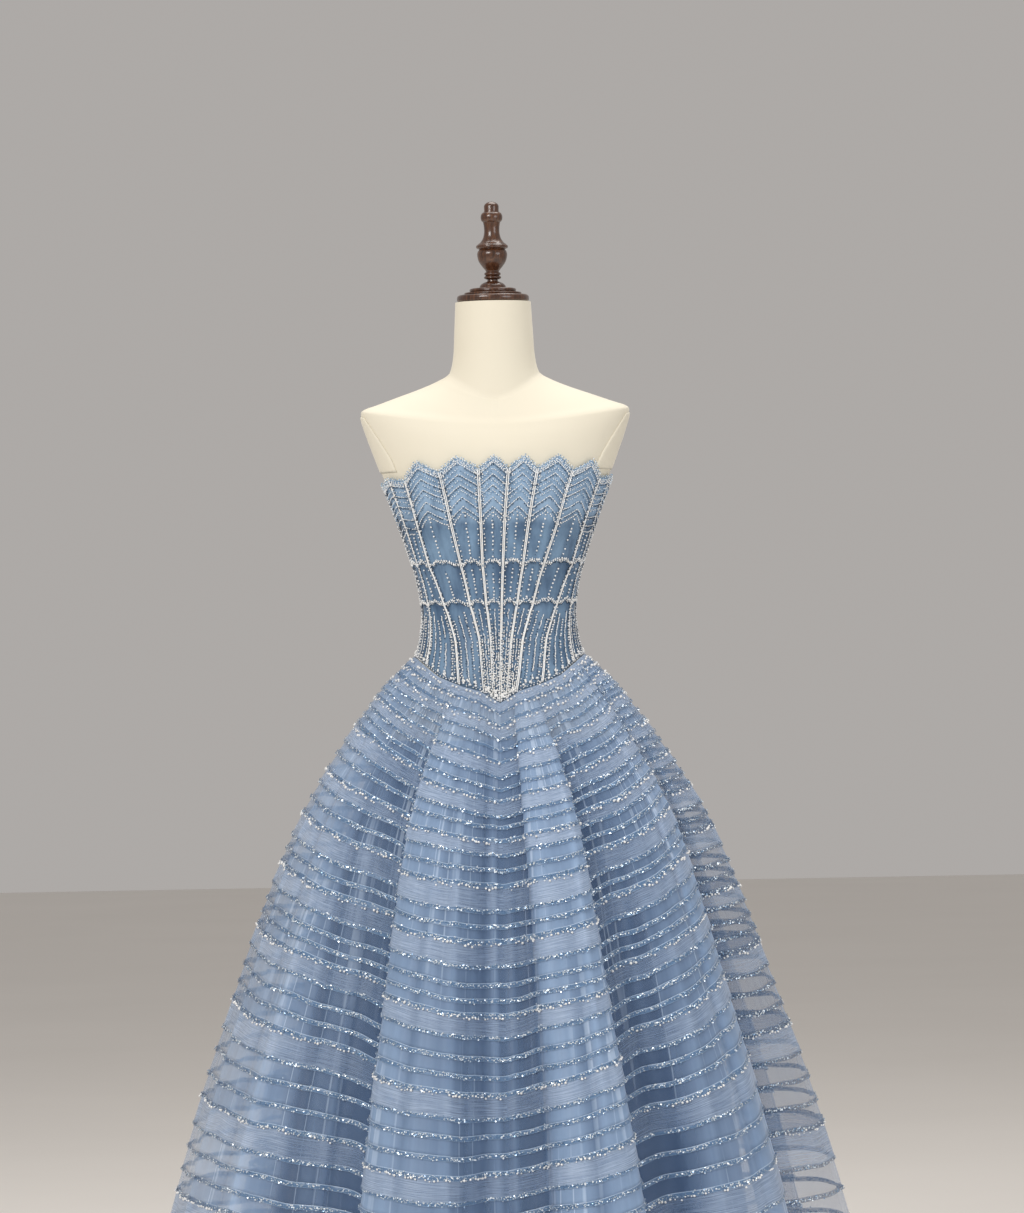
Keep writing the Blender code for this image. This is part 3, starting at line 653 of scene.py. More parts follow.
def makeForm():
    form = {"columns": 192, "rowsPerPlace": 6, "seamDeep": 0.0006, "seamHalf": 0.0011, "seamTop": 1.42,
            "neckSeam": 22.0, "neckHalf": 0.13, "sharp": 50.0}
    rows = (len(formTable) - 1) * form["rowsPerPlace"] + 1
    places = np.linspace(0.0, len(formTable) - 1.0, rows)
    angles = np.arange(form["columns"]) * 360.0 / form["columns"]
    gridAngle, gridPlace = np.tile(angles, rows), np.repeat(places, len(angles))
    points = formAt(gridAngle, gridPlace)
    normals = formNormal(gridAngle, gridPlace)
    away = np.radians(np.abs((gridAngle + 180.0) % 360.0 - 180.0)) * np.abs(points[:, 1])
    groove = form["seamDeep"] * np.exp(-((away / form["seamHalf"]) ** 2)) * (points[:, 2] < form["seamTop"])
    groove += form["seamDeep"] * np.exp(-(((gridPlace - form["neckSeam"]) / form["neckHalf"]) ** 2))
    points -= normals * groove[:, None]
    points[-len(angles):] = formAt(angles, places[-1:])
    faces = gridFaces(rows, len(angles), True)
    faces = [tuple(reversed(face)) for face in faces]
    faces.append(tuple(reversed(range(len(angles)))))
    faces.append(tuple(range((rows - 1) * len(angles), rows * len(angles))))
    made = faceOut(meshFrom("formSkin", points, faces, finishes["canvas"]))
    made.data.set_sharp_from_angle(angle=math.radians(form["sharp"]))
    finishOff(made, "form_canvas", "form_torso")


def makeArmPlates():
    plate = {"heights": (1.317, 1.335, 1.358, 1.380, 1.398), "spreads": (31.0, 30.0, 26.0, 21.0, 13.0),
             "count": 25, "out": 0.0010, "dome": 0.0007, "rim": 0.10, "wall": 0.0008}
    count = plate["count"]
    heights = np.linspace(plate["heights"][0], plate["heights"][-1], count)
    levels = np.interp(heights, plate["heights"], range(len(plate["heights"])))
    spreads = through(np.array(plate["spreads"])[:, None], levels)[:, 0]
    across = np.linspace(-1.0, 1.0, count)
    fromRim = 1 - np.maximum(np.abs(np.tile(across, count)), np.abs(across).repeat(count))
    out = plate["out"] + plate["dome"] * np.clip(fromRim / plate["rim"], 0, 1) ** 0.5
    for name, middle in (("left", 90.0), ("right", -90.0)):
        angle = (middle + spreads[:, None] * across[None, :]).ravel()
        points = offForm(angle, placeOf(np.repeat(heights, count)), out)
        faces = gridFaces(count, count, False)
        made = faceOut(meshFrom(f"armPlate{name.capitalize()}", points, faces, finishes["canvas"]))
        thicken(made, plate["wall"])
        faceOut(made)
        finishOff(made, "form_canvas", f"form_arm_plate_{name}")


def makeCapAndFinial():
    lathe = {"sides": 96, "gap": 0.0003}
    low = neckTop + lathe["gap"]
    cap = [(0.0500, low)] + arcPoints(low + 0.0004, 1.5715, 0.0524, 0.0505)
    cap += [(0.0490, 1.5725), (0.0424, 1.5728)] + arcPoints(1.5730, 1.5760, 0.0416, 0.0405, 5)
    cap += [(0.0345, 1.5764)] + arcPoints(1.5766, 1.5815, 0.0339, 0.0325, 5) + [(0.0300, 1.5822),
                                                                                (0.0240, 1.5826)]
    cap += [(0.0194 * math.cos(t), 1.5830 + 0.0100 * math.sin(t)) for t in (0.0, 0.3, 0.6, 0.9, 1.15)]
    cap += [(0.0075, 1.5945)]
    finishOff(turnedMesh("neckCapTurned", cap, lathe["sides"], finishes["walnut"]), "walnut", "neck_cap")
    finial = [(0.0080, 1.5948), (0.0094, 1.5950)] + arcPoints(1.5955, 1.6000, 0.0125, 0.0095)
    finial += arcPoints(1.6004, 1.6055, 0.0120, 0.0092)
    finial += smoothed([(0.0094, 1.6062), (0.0105, 1.6085), (0.0150, 1.6140), (0.0198, 1.6215),
                        (0.0218, 1.6300),
                        (0.0210, 1.6352), (0.0188, 1.6382)], 31)  # the urn
    finial += [(0.0200, 1.6392)] + arcPoints(1.6396, 1.6452, 0.0233, 0.0205)
    finial += smoothed([(0.0205, 1.6460), (0.0168, 1.6490), (0.0130, 1.6550), (0.0112, 1.6630),
                        (0.0113, 1.6710),
                        (0.0122, 1.6768)], 26)  # the vase above it
    finial += arcPoints(1.6780, 1.6920, 0.0159, 0.0118, 9)
    finial += [(0.0110, 1.6928), (0.0106, 1.6950), (0.0108, 1.7005)]
    finial += [(0.0108 * math.cos(t), 1.7005 + 0.0073 * math.sin(t)) for t in (0.3, 0.6, 0.9, 1.2, 1.45)]
    finishOff(turnedMesh("finialTurned", finial, lathe["sides"], finishes["walnut"]), "walnut", "finial")


makeForm()
makeArmPlates()
makeCapAndFinial()
plainNodes = {"stand_base": "walnut", "stand_pole": "steel", "zip_slider": "zipMetal",
              "zip_pull_tab": "zipMetal"}
for nodeName, finish in plainNodes.items():
    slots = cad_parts[nodeName].data.materials
    slots.clear()
    slots.append(finishes[finish])
print("form, cap and finial made")


def lengthAlong(line):  # from the first point to each point
    return np.concatenate([[0.0], np.cumsum(np.linalg.norm(np.diff(line, axis=0), axis=1))])


# Spots along a line on the cloth, by their gaps
def surfaceSpots(surface, normalOf, across, down, steps, out):
    line = surface(across, down, out)
    run = lengthAlong(line)
    at = np.cumsum(steps)
    at = at[at < run[-1]]
    spotAcross, spotDown = np.interp(at, run, across), np.interp(at, run, down)
    along = unit(np.stack([np.interp(at + 0.001, run, line[:, axis])
                           - np.interp(at - 0.001, run, line[:, axis])
                           for axis in range(3)], 1))
    return spotAcross, spotDown, normalOf(spotAcross, spotDown), along


class BeadTray:  # collects the places of one kind of bead
    def __init__(self):
        self.places, self.facings, self.alongs, self.sizes = [], [], [], []

    def add(self, places, facings, alongs, sizes):
        self.places.append(places)
        self.facings.append(facings)
        self.alongs.append(alongs)
        self.sizes.append(np.broadcast_to(np.asarray(sizes, float), (len(places),)))


def makeBeadTree():  # instances one small shape on every point of a mesh
    tree = bpy.data.node_groups.new("beadScatter", "GeometryNodeTree")
    for name, kind in (("Geometry", "Geometry"), ("Shape", "Object"), ("Finish", "Material"), ("Seed", "Int"),
                       ("Tilt", "Float"), ("Smallest", "Float")):
        tree.interface.new_socket(name=name, in_out="INPUT", socket_type="NodeSocket" + kind)
    tree.interface.new_socket(name="Geometry", in_out="OUTPUT", socket_type="NodeSocketGeometry")
    inlet = tree.nodes.new("NodeGroupInput")
    given = {slot.name: Link(tree, slot) for slot in inlet.outputs if slot.name}
    shape = addNode(tree, "GeometryNodeObjectInfo", {"transform_space": "ORIGINAL"},
                    {"Object": given["Shape"]},
                    "Geometry")
    facing, along, size = (
        addNode(tree, "GeometryNodeInputNamedAttribute", {"data_type": kind}, {"Name": name})
        for name, kind in (("facing", "FLOAT_VECTOR"), ("along", "FLOAT_VECTOR"), ("size", "FLOAT")))
    turn = addNode(tree, "FunctionNodeAlignRotationToVector", {"axis": "Z"}, {"Vector": facing})
    turn = addNode(tree, "FunctionNodeAlignRotationToVector", {"axis": "X", "pivot_axis": "Z"},
                   {"Rotation": turn, "Vector": along})
    shake = addNode(tree, "FunctionNodeRandomValue", {"data_type": "FLOAT_VECTOR"},
                    {0: (-1.0, -1.0, -1.0), 1: (1.0, 1.0, 1.0), 8: given["Seed"]})
    shake = addNode(tree, "ShaderNodeVectorMath", {"operation": "SCALE"}, {0: shake, "Scale": given["Tilt"]})
    shake = addNode(tree, "FunctionNodeEulerToRotation", {}, {0: shake})
    turn = addNode(tree, "FunctionNodeRotateRotation", {"rotation_space": "LOCAL"}, {0: turn, 1: shake})
    growth = addNode(tree, "FunctionNodeRandomValue", {"data_type": "FLOAT"},
                     {2: given["Smallest"], 3: 1.0, 8: given["Seed"]}, 1)
    copies = addNode(tree, "GeometryNodeInstanceOnPoints", {},
                     {"Points": given["Geometry"], "Instance": shape, "Rotation": turn,
                      "Scale": size * growth})
    copies = addNode(tree, "GeometryNodeRealizeInstances", {}, {0: copies})
    copies = addNode(tree, "GeometryNodeSetMaterial", {}, {"Geometry": copies, "Material": given["Finish"]})
    outlet = tree.nodes.new("NodeGroupOutput")
    tree.links.new(copies.socket, outlet.inputs[0])
    return tree


beadTree = makeBeadTree()


def scatter(name, tray, shape, finish, seed, tilt, smallest):
    places = np.concatenate(tray.places)
    mesh = bpy.data.meshes.new(name)
    mesh.from_pydata([tuple(p) for p in places], [], [])
    for key, kind, field, values in (("facing", "FLOAT_VECTOR", "vector", tray.facings),
                                     ("along", "FLOAT_VECTOR", "vector", tray.alongs),
                                     ("size", "FLOAT", "value", tray.sizes)):
        layer = mesh.attributes.new(key, kind, "POINT")
        layer.data.foreach_set(field, np.concatenate(values).astype(np.float32).ravel())
    made = linked(name, mesh)
    modifier = made.modifiers.new("beads", "NODES")
    modifier.node_group = beadTree
    values = {"Shape": shape, "Finish": finish, "Seed": seed, "Tilt": tilt, "Smallest": smallest}
    for item in beadTree.interface.items_tree:
        if item.in_out == "INPUT" and item.name in values:
            modifier[item.identifier] = values[item.name]
    applyModifiers(made)
    made.data.materials.clear()
    made.data.materials.append(finish)
    print(name, len(places), "beads", len(made.data.polygons), "faces")
    return made


def shapeFrom(name, points, faces, smooth=True):
    mesh = bpy.data.meshes.new(name)
    mesh.from_pydata(points, [], faces)
    if smooth:
        mesh.shade_smooth()
    made = bpy.data.objects.new(name, mesh)
    faceOut(made)
    return made


def ballShape(name, rings, sides, stretch):  # ball of few faces
    points = [(0, 0, stretch[2])]
    for ring in range(1, rings):
        down = math.pi * ring / rings
        for turn in [math.tau * side / sides for side in range(sides)]:
            unitPoint = (math.sin(down) * math.cos(turn), math.sin(down) * math.sin(turn), math.cos(down))
            points.append(tuple(part * by for part, by in zip(unitPoint, stretch)))
    points.append((0, 0, -stretch[2]))
    faces = [(0, 1 + side, 1 + (side + 1) % sides) for side in range(sides)]
    faces += [tuple(1 + corner for corner in reversed(face)) for face in gridFaces(rings - 1, sides, True)]
    low = 1 + (rings - 2) * sides
    faces += [(len(points) - 1, low + (side + 1) % sides, low + side) for side in range(sides)]
    return shapeFrom(name, points, faces)


shapes = {
    "pearl": ballShape("pearlShape", 3, 5, (1, 1, 1)),
    "bead": ballShape("beadShape", 2, 4, (1, 1, 0.9)),
    "bugle": ballShape("bugleShape", 3, 5, (1.9, 0.62, 0.62)),
    "sequin": shapeFrom("sequinShape", [(1.1, 0, 0), (0, 1.1, 0.35), (-1.1, 0, 0), (0, -1.1, 0.35)],
                        [(0, 1, 2), (0, 2, 3)], False),
}
chance = np.random.default_rng(11)

# Small folds: angle, lean in degrees down the skirt, half width, how far it stands (a trough is below
# zero), first and last row
creases = [
    (-3.2, 1.6, 0.9, 0.0045, 2.0, 12.0), (2.4, -1.2, 0.8, 0.0040, 4.0, 12.0),
    (8.6, 0.8, 1.0, -0.0035, 3.0, 12.0), (14.8, 1.8, 1.1, -0.0050, 5.0, 12.0),
    (17.8, -0.6, 0.7, 0.0030, 2.0, 9.0), (24.6, 1.0, 0.8, 0.0040, 3.5, 12.0),
    (34.0, 2.2, 1.5, -0.0050, 4.0, 12.0), (41.5, -1.8, 1.3, 0.0045, 5.5, 12.0),
    (48.0, 1.4, 1.1, -0.0040, 2.5, 10.0), (57.5, 0.8, 1.0, 0.0045, 3.0, 12.0),
    (69.0, -2.0, 1.8, -0.0060, 4.5, 12.0), (80.0, 1.5, 1.6, 0.0050, 3.0, 12.0),
    (91.0, -1.0, 1.4, -0.0050, 5.0, 12.0), (104.0, 1.2, 1.0, 0.0045, 2.5, 12.0),
    (116.0, -1.6, 1.7, -0.0060, 4.0, 12.0), (126.0, 1.4, 1.3, 0.0045, 6.0, 12.0),
    (137.5, -0.8, 1.0, 0.0040, 3.0, 11.0), (148.0, 1.8, 1.4, -0.0050, 4.5, 12.0),
    (156.5, -1.4, 1.2, 0.0040, 2.5, 12.0), (166.0, 1.0, 0.9, 0.0045, 5.0, 12.0),
    (175.5, -1.2, 1.2, -0.0045, 3.0, 12.0), (184.0, 1.6, 1.3, 0.0040, 4.0, 12.0),
    (194.5, -1.0, 0.9, 0.0045, 3.0, 12.0), (206.0, 1.4, 1.6, -0.0055, 5.0, 12.0),
    (214.5, -1.6, 1.3, 0.0045, 2.5, 12.0), (225.5, 1.0, 1.0, 0.0045, 4.0, 12.0),
    (237.0, -1.4, 1.6, -0.0055, 3.5, 12.0), (246.0, 1.8, 1.2, 0.0040, 5.5, 12.0),
    (255.5, -1.0, 1.0, 0.0045, 3.0, 12.0), (266.0, 1.6, 1.7, -0.0060, 4.0, 12.0),
    (277.5, -1.8, 1.5, 0.0050, 5.0, 12.0), (288.0, 0.8, 0.9, 0.0040, 3.0, 12.0),
    (297.5, 2.0, 1.3, -0.0045, 2.5, 11.0), (304.5, -1.4, 1.1, 0.0050, 5.0, 12.0),
    (312.5, 1.8, 1.5, -0.0060, 3.5, 12.0), (319.5, -1.0, 1.0, 0.0040, 6.0, 12.0),
    (330.5, 1.2, 1.0, 0.0045, 3.0, 12.0), (341.5, -1.6, 1.0, -0.0040, 4.5, 12.0),
    (348.0, 1.4, 0.9, 0.0035, 2.5, 12.0), (351.5, 1.0, 0.7, -0.0035, 5.5, 12.0),
]
drape = {"overlap": 0.0150, "overlapIn": 2.2, "leanFull": 4.0, "wobble": 0.030, "gather": 0.0007,
         "gatherTo": 2.6}
rowWaves = [  # waves round the skirt, how they shift from row to row, where they start, how high
    (5, 0.9, 0.4, 0.50), (11, -1.7, 2.1, 0.32), (23, 2.6, 1.2, 0.24), (47, -1.1, 0.0, 0.12),
]
fades = {"crease": 2.5, "creaseEnd": 1.2, "creaseLeft": 0.25, "wobbleIn": 1.5, "wobbleOut": 0.8,
         "gatherIn": 0.3,
         "gatherOut": 2.0}  # how many rows each change takes
gatherWaves = [(83, 0.0, 1.0), (131, 1.3, 0.6), (47, 0.0, 0.5)]  # waves round the waist, start, height
edgeLean = [  # how much each large fold leans over its first and its last edge
    (1.0, 0.9), (0.1, 1.0), (0.2, 0.6), (0.8, 0.3), (0.3, 0.9), (0.8, 0.3), (0.3, 0.8), (0.6, 0.3),
    (0.2, 0.0),
    (1.0, 0.1),
]


def makeOverlapCurve():  # how far each large fold leans over the hollow beside it
    lean = np.zeros_like(ridgeAngles)
    for (first, last, _), (atFirst, atLast) in zip(ridges, edgeLean):
        width = last - first
        inside = (ridgeAngles - first) % 360.0
        on = inside <= width
        for away, sign in ((inside, -atFirst), (width - inside, atLast)):
            part = np.maximum(away, 0.0) / drape["overlapIn"]
            lean[on] += (sign * part * np.exp(1.0 - part))[on]
    return blurred(lean, 3, 1.5)


overlapCurve = makeOverlapCurve()


def creaseHeight(angle, place):
    total = np.zeros_like(angle)
    for middle, lean, half, stand, first, last in creases:
        line = middle + lean * (place - first) / (last - first)
        away = ((angle - line + 180.0) % 360.0 - 180.0) / half
        fade = np.clip((place - first) / fades["crease"], 0.0, 1.0)
        fade = fade * np.clip((last + 0.6 - place) / fades["creaseEnd"], fades["creaseLeft"], 1.0)
        total += stand * np.exp(-(away**2)) * fade
    return total


def rowWobble(angle, place):  # rows rise and fall a little as they go round
    turn = np.radians(angle)
    wave = sum(high * np.sin(count * turn + shift * place + start) for count, shift, start, high in rowWaves)
    upper = np.clip(place / fades["wobbleIn"], 0.0, 1.0)
    lower = np.clip((lastRow - place) / fades["wobbleOut"], 0.0, 1.0)
    return drape["wobble"] * wave * upper * lower


def clothAt(angle, place, out=0.0):  # a point of the skirt's cloth, out from it
    angle, place = paired(angle, place)
    moved = np.clip(place + rowWobble(angle, place), 0.0, lastRow)
    turn = np.radians(angle)
    fade = np.clip(place / fades["gatherIn"], 0.0, 1.0)
    fade = fade * np.clip((drape["gatherTo"] - place) / fades["gatherOut"], 0.0, 1.0)
    gather = drape["gather"] * fade * sum(high * np.sin(count * turn + start) for count, start,
                                          high in gatherWaves)
    stand = creaseHeight(angle, place) + gather + np.broadcast_to(np.asarray(out, float), angle.shape)
    lean = np.interp(foldAngle(angle, place), ridgeAngles, overlapCurve, period=360.0)
    lean = lean * drape["overlap"] * np.clip(place / drape["leanFull"], 0.0, 1.0)
    aside = np.stack([np.cos(turn), np.sin(turn), np.zeros_like(turn)], 1)
    return skirtAt(angle, moved) + skirtNormal(angle, moved) * stand[:, None] + aside * lean[:, None]


def evenAngles(count, place):  # columns evenly spaced along the cloth, closer where it folds
    fine = np.arange(0.0, 360.01, 0.1)
    line = clothAt(fine, place)
    run = lengthAlong(line)
    run = run / run[-1] * 0.8 + fine / 360.0 * 0.2
    return np.interp(np.arange(count) / count, run / run[-1], fine)


skirt = {
    "columns": 560, "shingle": 0.0012, "shingleCurve": 1.5, "tuckIn": 0.0006, "rowsPerStrip": 4,
    "around": 3.9, "bandOut": 0.0008, "trimOut": 0.0014, "trimUp": 0.0026, "trimDown": 0.0046, "hem": 11.99,
    "slope": 1.06, "toneFull": 3.5, "seamTone": 0.80, "creaseShading": 45, "palest": 1.2, "sheerFull": 4.0,
    "sheerFrom": 0.4,
}
sequinRows = {"pitch": 0.0023, "gaps": (0.7, 1.5), "size": 0.00150, "lift": 0.0007, "loose": 0.0006,
              "stray": 0.0011,
              "lanes": ((0.0004, 1.0), (0.0026, 1.15))}  # each lane's drop, and its share of the pitch
pearlRows = {"size": 0.00200, "sizes": (0.62, 0.85, 1.0, 1.2), "drop": 0.0048, "out": 0.0022, "stray": 0.0011,
             "lowest": 11.97, "run": (1, 6), "bare": (0.009, 0.024), "gaps": (0.0042, 0.0074), "hemRow": 0.93}
# Where the rows of trimming lie in each tier, as shares of its fall; the crinkled ribbon ends at the first
trimRows = [
    (0.46,), (0.39, 0.69), (0.39, 0.706), (0.40, 0.67), (0.317, 0.67), (0.468, 0.744), (0.343, 0.60, 0.81),
    (0.28, 0.55, 0.787), (0.305, 0.53, 0.775), (0.30, 0.54, 0.78), (0.30, 0.54, 0.78), (0.30, 0.54, 0.78),
]
skirtAngles = evenAngles(skirt["columns"], 8.5)


def tierFall(tier, angle):
    return rowHeight(angle, np.full_like(angle, tier)) - rowHeight(angle, np.full_like(angle, tier + 1.0))


sheerTable = np.array([  # how see-through the cloth looks, by angle
    (0, 0.0), (61.6, 0.0), (63, 1.0), (125, 1.0), (140, 0.35), (180, 0.2), (220, 0.35), (240, 0.9),
    (276, 1.0),
    (290, 0.55), (306, 0.0), (360, 0.0),
])
layerAndShadeTable = np.array([  # how pale the cloth looks, by angle: painted shade in the hollows between the large folds, darkest beside their crisp edges, and a paler tone on the folds where the organza lies doubled
    (0, 0.36), (7, 0.18), (7.9, 1.00), (11, 0.90), (15, 0.76), (19, 0.94), (21.8, 1.00), (22.6, 0.06),
    (28, 0.16),
    (34, 0.40), (41, 0.52), (48, 0.76), (55, 0.88), (61.2, 1.00), (62.2, 0.55), (68, 0.70), (82, 0.85),
    (101, 0.80),
    (107, 0.15), (112, 0.55), (124, 0.90), (134, 0.80), (138, 0.15), (146, 0.60), (156, 0.95), (163, 0.80),
    (166, 0.12), (172, 0.55), (182, 0.90), (191, 0.75), (195, 0.15), (202, 0.60), (214, 0.92), (222, 0.75),
    (225, 0.15), (230, 0.60), (238, 0.80), (243, 0.40), (250, 0.80), (275, 1.00), (294, 0.96), (304, 0.76),
    (312, 0.46), (321, 0.22), (331.2, 0.05), (332.2, 1.00), (337, 0.90), (344, 0.68), (352, 0.48),
    (360, 0.36),
])


def ringMesh(name, rowPlaces, rowOuts, rowDown, material):  # cloth ring with its length and fall as UV
    columns, rows = len(skirtAngles), len(rowPlaces)
    rowPlaces = np.asarray(rowPlaces, float)
    gridAngle = np.tile(skirtAngles, rows)
    gridPlace = rowPlaces.ravel() if rowPlaces.ndim > 1 else np.repeat(rowPlaces, columns)
    points = clothAt(gridAngle, gridPlace, np.repeat(rowOuts, columns))
    faces = gridFaces(rows, columns, True)
    made = meshFrom(name, points, faces, material)
    around = np.arange(columns + 1) / columns * skirt["around"]
    row, column = np.divmod(np.arange(len(faces)), columns)
    uv = np.empty((len(faces), 4, 2))
    uv[:, :2, 0], uv[:, 2:, 0] = around[column][:, None], around[column + 1][:, None]
    down = np.asarray(rowDown)
    uv[:, 0, 1] = uv[:, 3, 1] = down[row]
    uv[:, 1, 1] = uv[:, 2, 1] = down[row + 1]
    layer = made.data.uv_layers.new(name="cloth")
    layer.data.foreach_set("uv", uv.ravel())
    foldTurn = foldAngle(gridAngle, gridPlace)
    full = np.clip(gridPlace / skirt["toneFull"], 0.0, 1.0)  # near the waist the gathers even out the painted shade
    # fold carries the painted shade of the large folds into the organza and ribbon colours
    fold = np.interp(foldTurn, layerAndShadeTable[:, 0], layerAndShadeTable[:, 1]) * full + (1.0 - full) * skirt["seamTone"]
    # painted light and shade of the small creases: paler on their crests, darker in their troughs
    fold = np.clip(fold + creaseHeight(gridAngle, gridPlace) * skirt["creaseShading"], 0, skirt["palest"])
    lower = np.clip(gridPlace / skirt["sheerFull"] - skirt["sheerFrom"], 0.0, 1.0)
    sheer = np.interp(foldTurn, sheerTable[:, 0], sheerTable[:, 1]) * lower
    for key, values in (("fold", fold), ("sheer", sheer)):
        made.data.attributes.new(key, "FLOAT", "POINT").data.foreach_set("value", values.astype(np.float32))
    return made


def joinMeshes(name, parts):
    work = bmesh.new()
    for part in parts:
        work.from_mesh(part.data)
    mesh = bpy.data.meshes.new(name)
    for material in parts[0].data.materials:
        mesh.materials.append(material)
    work.to_mesh(mesh)
    work.free()
    for part in parts:
        bpy.data.meshes.remove(part.data)
    return linked(name, mesh)


def areaOf(made):
    return sum(face.area for face in made.data.polygons)


def fallAt(place):  # metres down the skirt at a place
    return np.interp(place, np.arange(len(rowTable)), (rowTable[0, 0] - rowTable[:, 0]) * skirt["slope"])


def makeTiers():
    tiers = []
    for tier, rows in enumerate(trimRows):
        edges = (0.0,) + rows + (1.0,)
        places, outs = [], []
        for first, last in zip(edges, edges[1:]):
            share = np.linspace(0.0, 1.0, skirt["rowsPerStrip"] + 1)
            places += list(tier + first + (last - first) * share)
            outs += list(skirt["shingle"] * share ** skirt["shingleCurve"] - skirt["tuckIn"])
        made = ringMesh(f"organzaTier{tier + 1}", places, outs, fallAt(places), finishes["organza"])
        finishOff(made, "organza", f"skirt_tier_{tier + 1:02d}")
        print("tier", tier + 1, "area", round(areaOf(made), 4))
        tiers.append(made)
    return tiers


def makeBands():
    for number, group in enumerate([(0, 1, 2, 3), (4, 5, 6, 7), (8, 9, 10, 11)]):
        parts = []
        for tier in group:
            share = np.linspace(0.01, trimRows[tier][0], 5 if tier else 3)
            outs = skirt["bandOut"] + skirt["shingle"] * (share / trimRows[tier][0]) ** skirt["shingleCurve"]
            parts.append(ringMesh("band", tier + share, outs, fallAt(tier + share), finishes["crinkle"]))
        made = joinMeshes(f"crinkledBands{number + 1}", parts)
        finishOff(made, "crinkle_band")
        sewnOn[group[0]].append(made)


def makeTrims():
    upper, lower = skirt["trimUp"], skirt["trimDown"]
    outs = skirt["trimOut"] + np.array([-0.0005, 0.0001, 0.0002, -0.0002])
    for number, group in enumerate([(0, 1, 2, 3, 4), (5, 6, 7, 8), (9, 10, 11)]):
        parts, sequins, pearls = [], BeadTray(), BeadTray()
        for tier in group:
            # The top trims are narrower
            fall = tierFall(tier, skirtAngles) / (0.50 + 0.50 * min(tier / 5.0, 1.0))
            for row in list(trimRows[tier]) + [1.0]:
                edges = [-upper, -upper * 0.3, lower * 0.5, lower]
                if tier + row > skirt["hem"]:
                    edges = [-upper - lower, -lower, -lower * 0.4, 0.0]
                places = tier + row + np.outer(edges, 1.0 / fall)
                parts.append(ringMesh("tape", places, outs, np.array([0.0, 0.3, 0.7, 1.0]), finishes["tape"]))
                laySequins(sequins, tier, row)
            for row in [1.0 if tier < 11 else pearlRows["hemRow"]] + ([0.46, 0.02] if tier == 0 else []):
                layPearls(pearls, tier, row)
        made = joinMeshes(f"trimTapes{number + 1}", parts)
        finishOff(made, "organza")
        sewnOn[group[0]].append(made)
        for kind, tray, seed, tilt, smallest in (("sequin", sequins, 3, 0.55, 0.7),
                                                 ("pearl", pearls, 23, 0.3, 0.8)):
            finishOff(scatter(f"skirt{kind.title()}s{number + 1}", tray, shapes[kind], finishes[kind],
                              seed + number,
                              tilt, smallest), kind)


def laySequins(tray, tier, row):
    fine = np.arange(0.0, 360.01, 0.3)
    fall = tierFall(tier, fine)
    lift = 0.9 * skirt["trimDown"] if tier + row > skirt["hem"] else 0.0
    for lane, (drop, pitch) in enumerate(sequinRows["lanes"]):
        down = tier + row + (drop - lift) / fall
        steps = sequinRows["pitch"] * pitch * chance.uniform(*sequinRows["gaps"], 4000)
        across, at, facing, along = surfaceSpots(clothAt, skirtNormal, fine, down, steps, skirt["trimOut"])
        at = at + chance.normal(0.0, sequinRows["stray"], len(at)) / tierFall(tier, across)
        turn = np.radians(across)
        thick = 0.5 + 0.5 * np.sin(turn * 31 + tier * 5 + lane) * np.sin(turn * 13 + row * 9)
        keep = chance.random(len(at)) < (0.52 + 0.46 * thick) * (0.6 + 0.4 * min(tier / 4.0, 1.0))
        outs = skirt["trimOut"] + sequinRows["lift"] + chance.uniform(0, sequinRows["loose"], len(at))
        places = clothAt(across, at, outs)
        sizes = sequinRows["size"] * chance.choice([0.75, 1.0, 1.25], keep.sum())
        tray.add(places[keep], facing[keep], along[keep], sizes)


def layPearls(tray, tier, row):
    steps = []
    while len(steps) < 1400:  # little runs of pearls with bare gaps between
        run = chance.integers(*pearlRows["run"])
        steps += [chance.uniform(*pearlRows["bare"])] + [chance.uniform(*pearlRows["gaps"]) for _ in range(run)]
    fine = np.arange(0.0, 360.01, 0.3)
    down = tier + row + pearlRows["drop"] / tierFall(tier, fine)
    across, at, facing, along = surfaceSpots(clothAt, skirtNormal, fine, down, np.array(steps),
                                             pearlRows["out"])
    at = at + chance.normal(0.0, pearlRows["stray"], len(at)) / tierFall(tier, across)
    at = np.minimum(at, pearlRows["lowest"])
    sizes = pearlRows["size"] * chance.choice(pearlRows["sizes"], len(at))
    places = clothAt(across, at, pearlRows["out"] + sizes * 0.3)
    tray.add(places, facing, along, sizes)


sewnOn = {tier: [] for tier in range(12)}  # ribbons and tapes that are sewn to a tier
tierCloths = makeTiers()
makeBands()
makeTrims()
print("skirt made")

underskirt = {"columns": 240, "rows": 30, "wall": 0.0006, "foldDeep": 0.0075, "around": 2.4}
# Waves, start, shift, height
underskirtWaves = [(9, 0.0, 0.8, 0.5), (16, 2.0, 0.0, 0.35), (25, 1.1, -1.0, 0.3)]
underskirtTable = np.array([  # height, half width, half depth
    (0.930, 0.1660, 0.1180), (0.870, 0.1990, 0.1560), (0.780, 0.2350, 0.2020),
    (0.640, 0.2780, 0.2600), (0.420, 0.3260, 0.3180), (0.022, 0.3780, 0.3740),
])


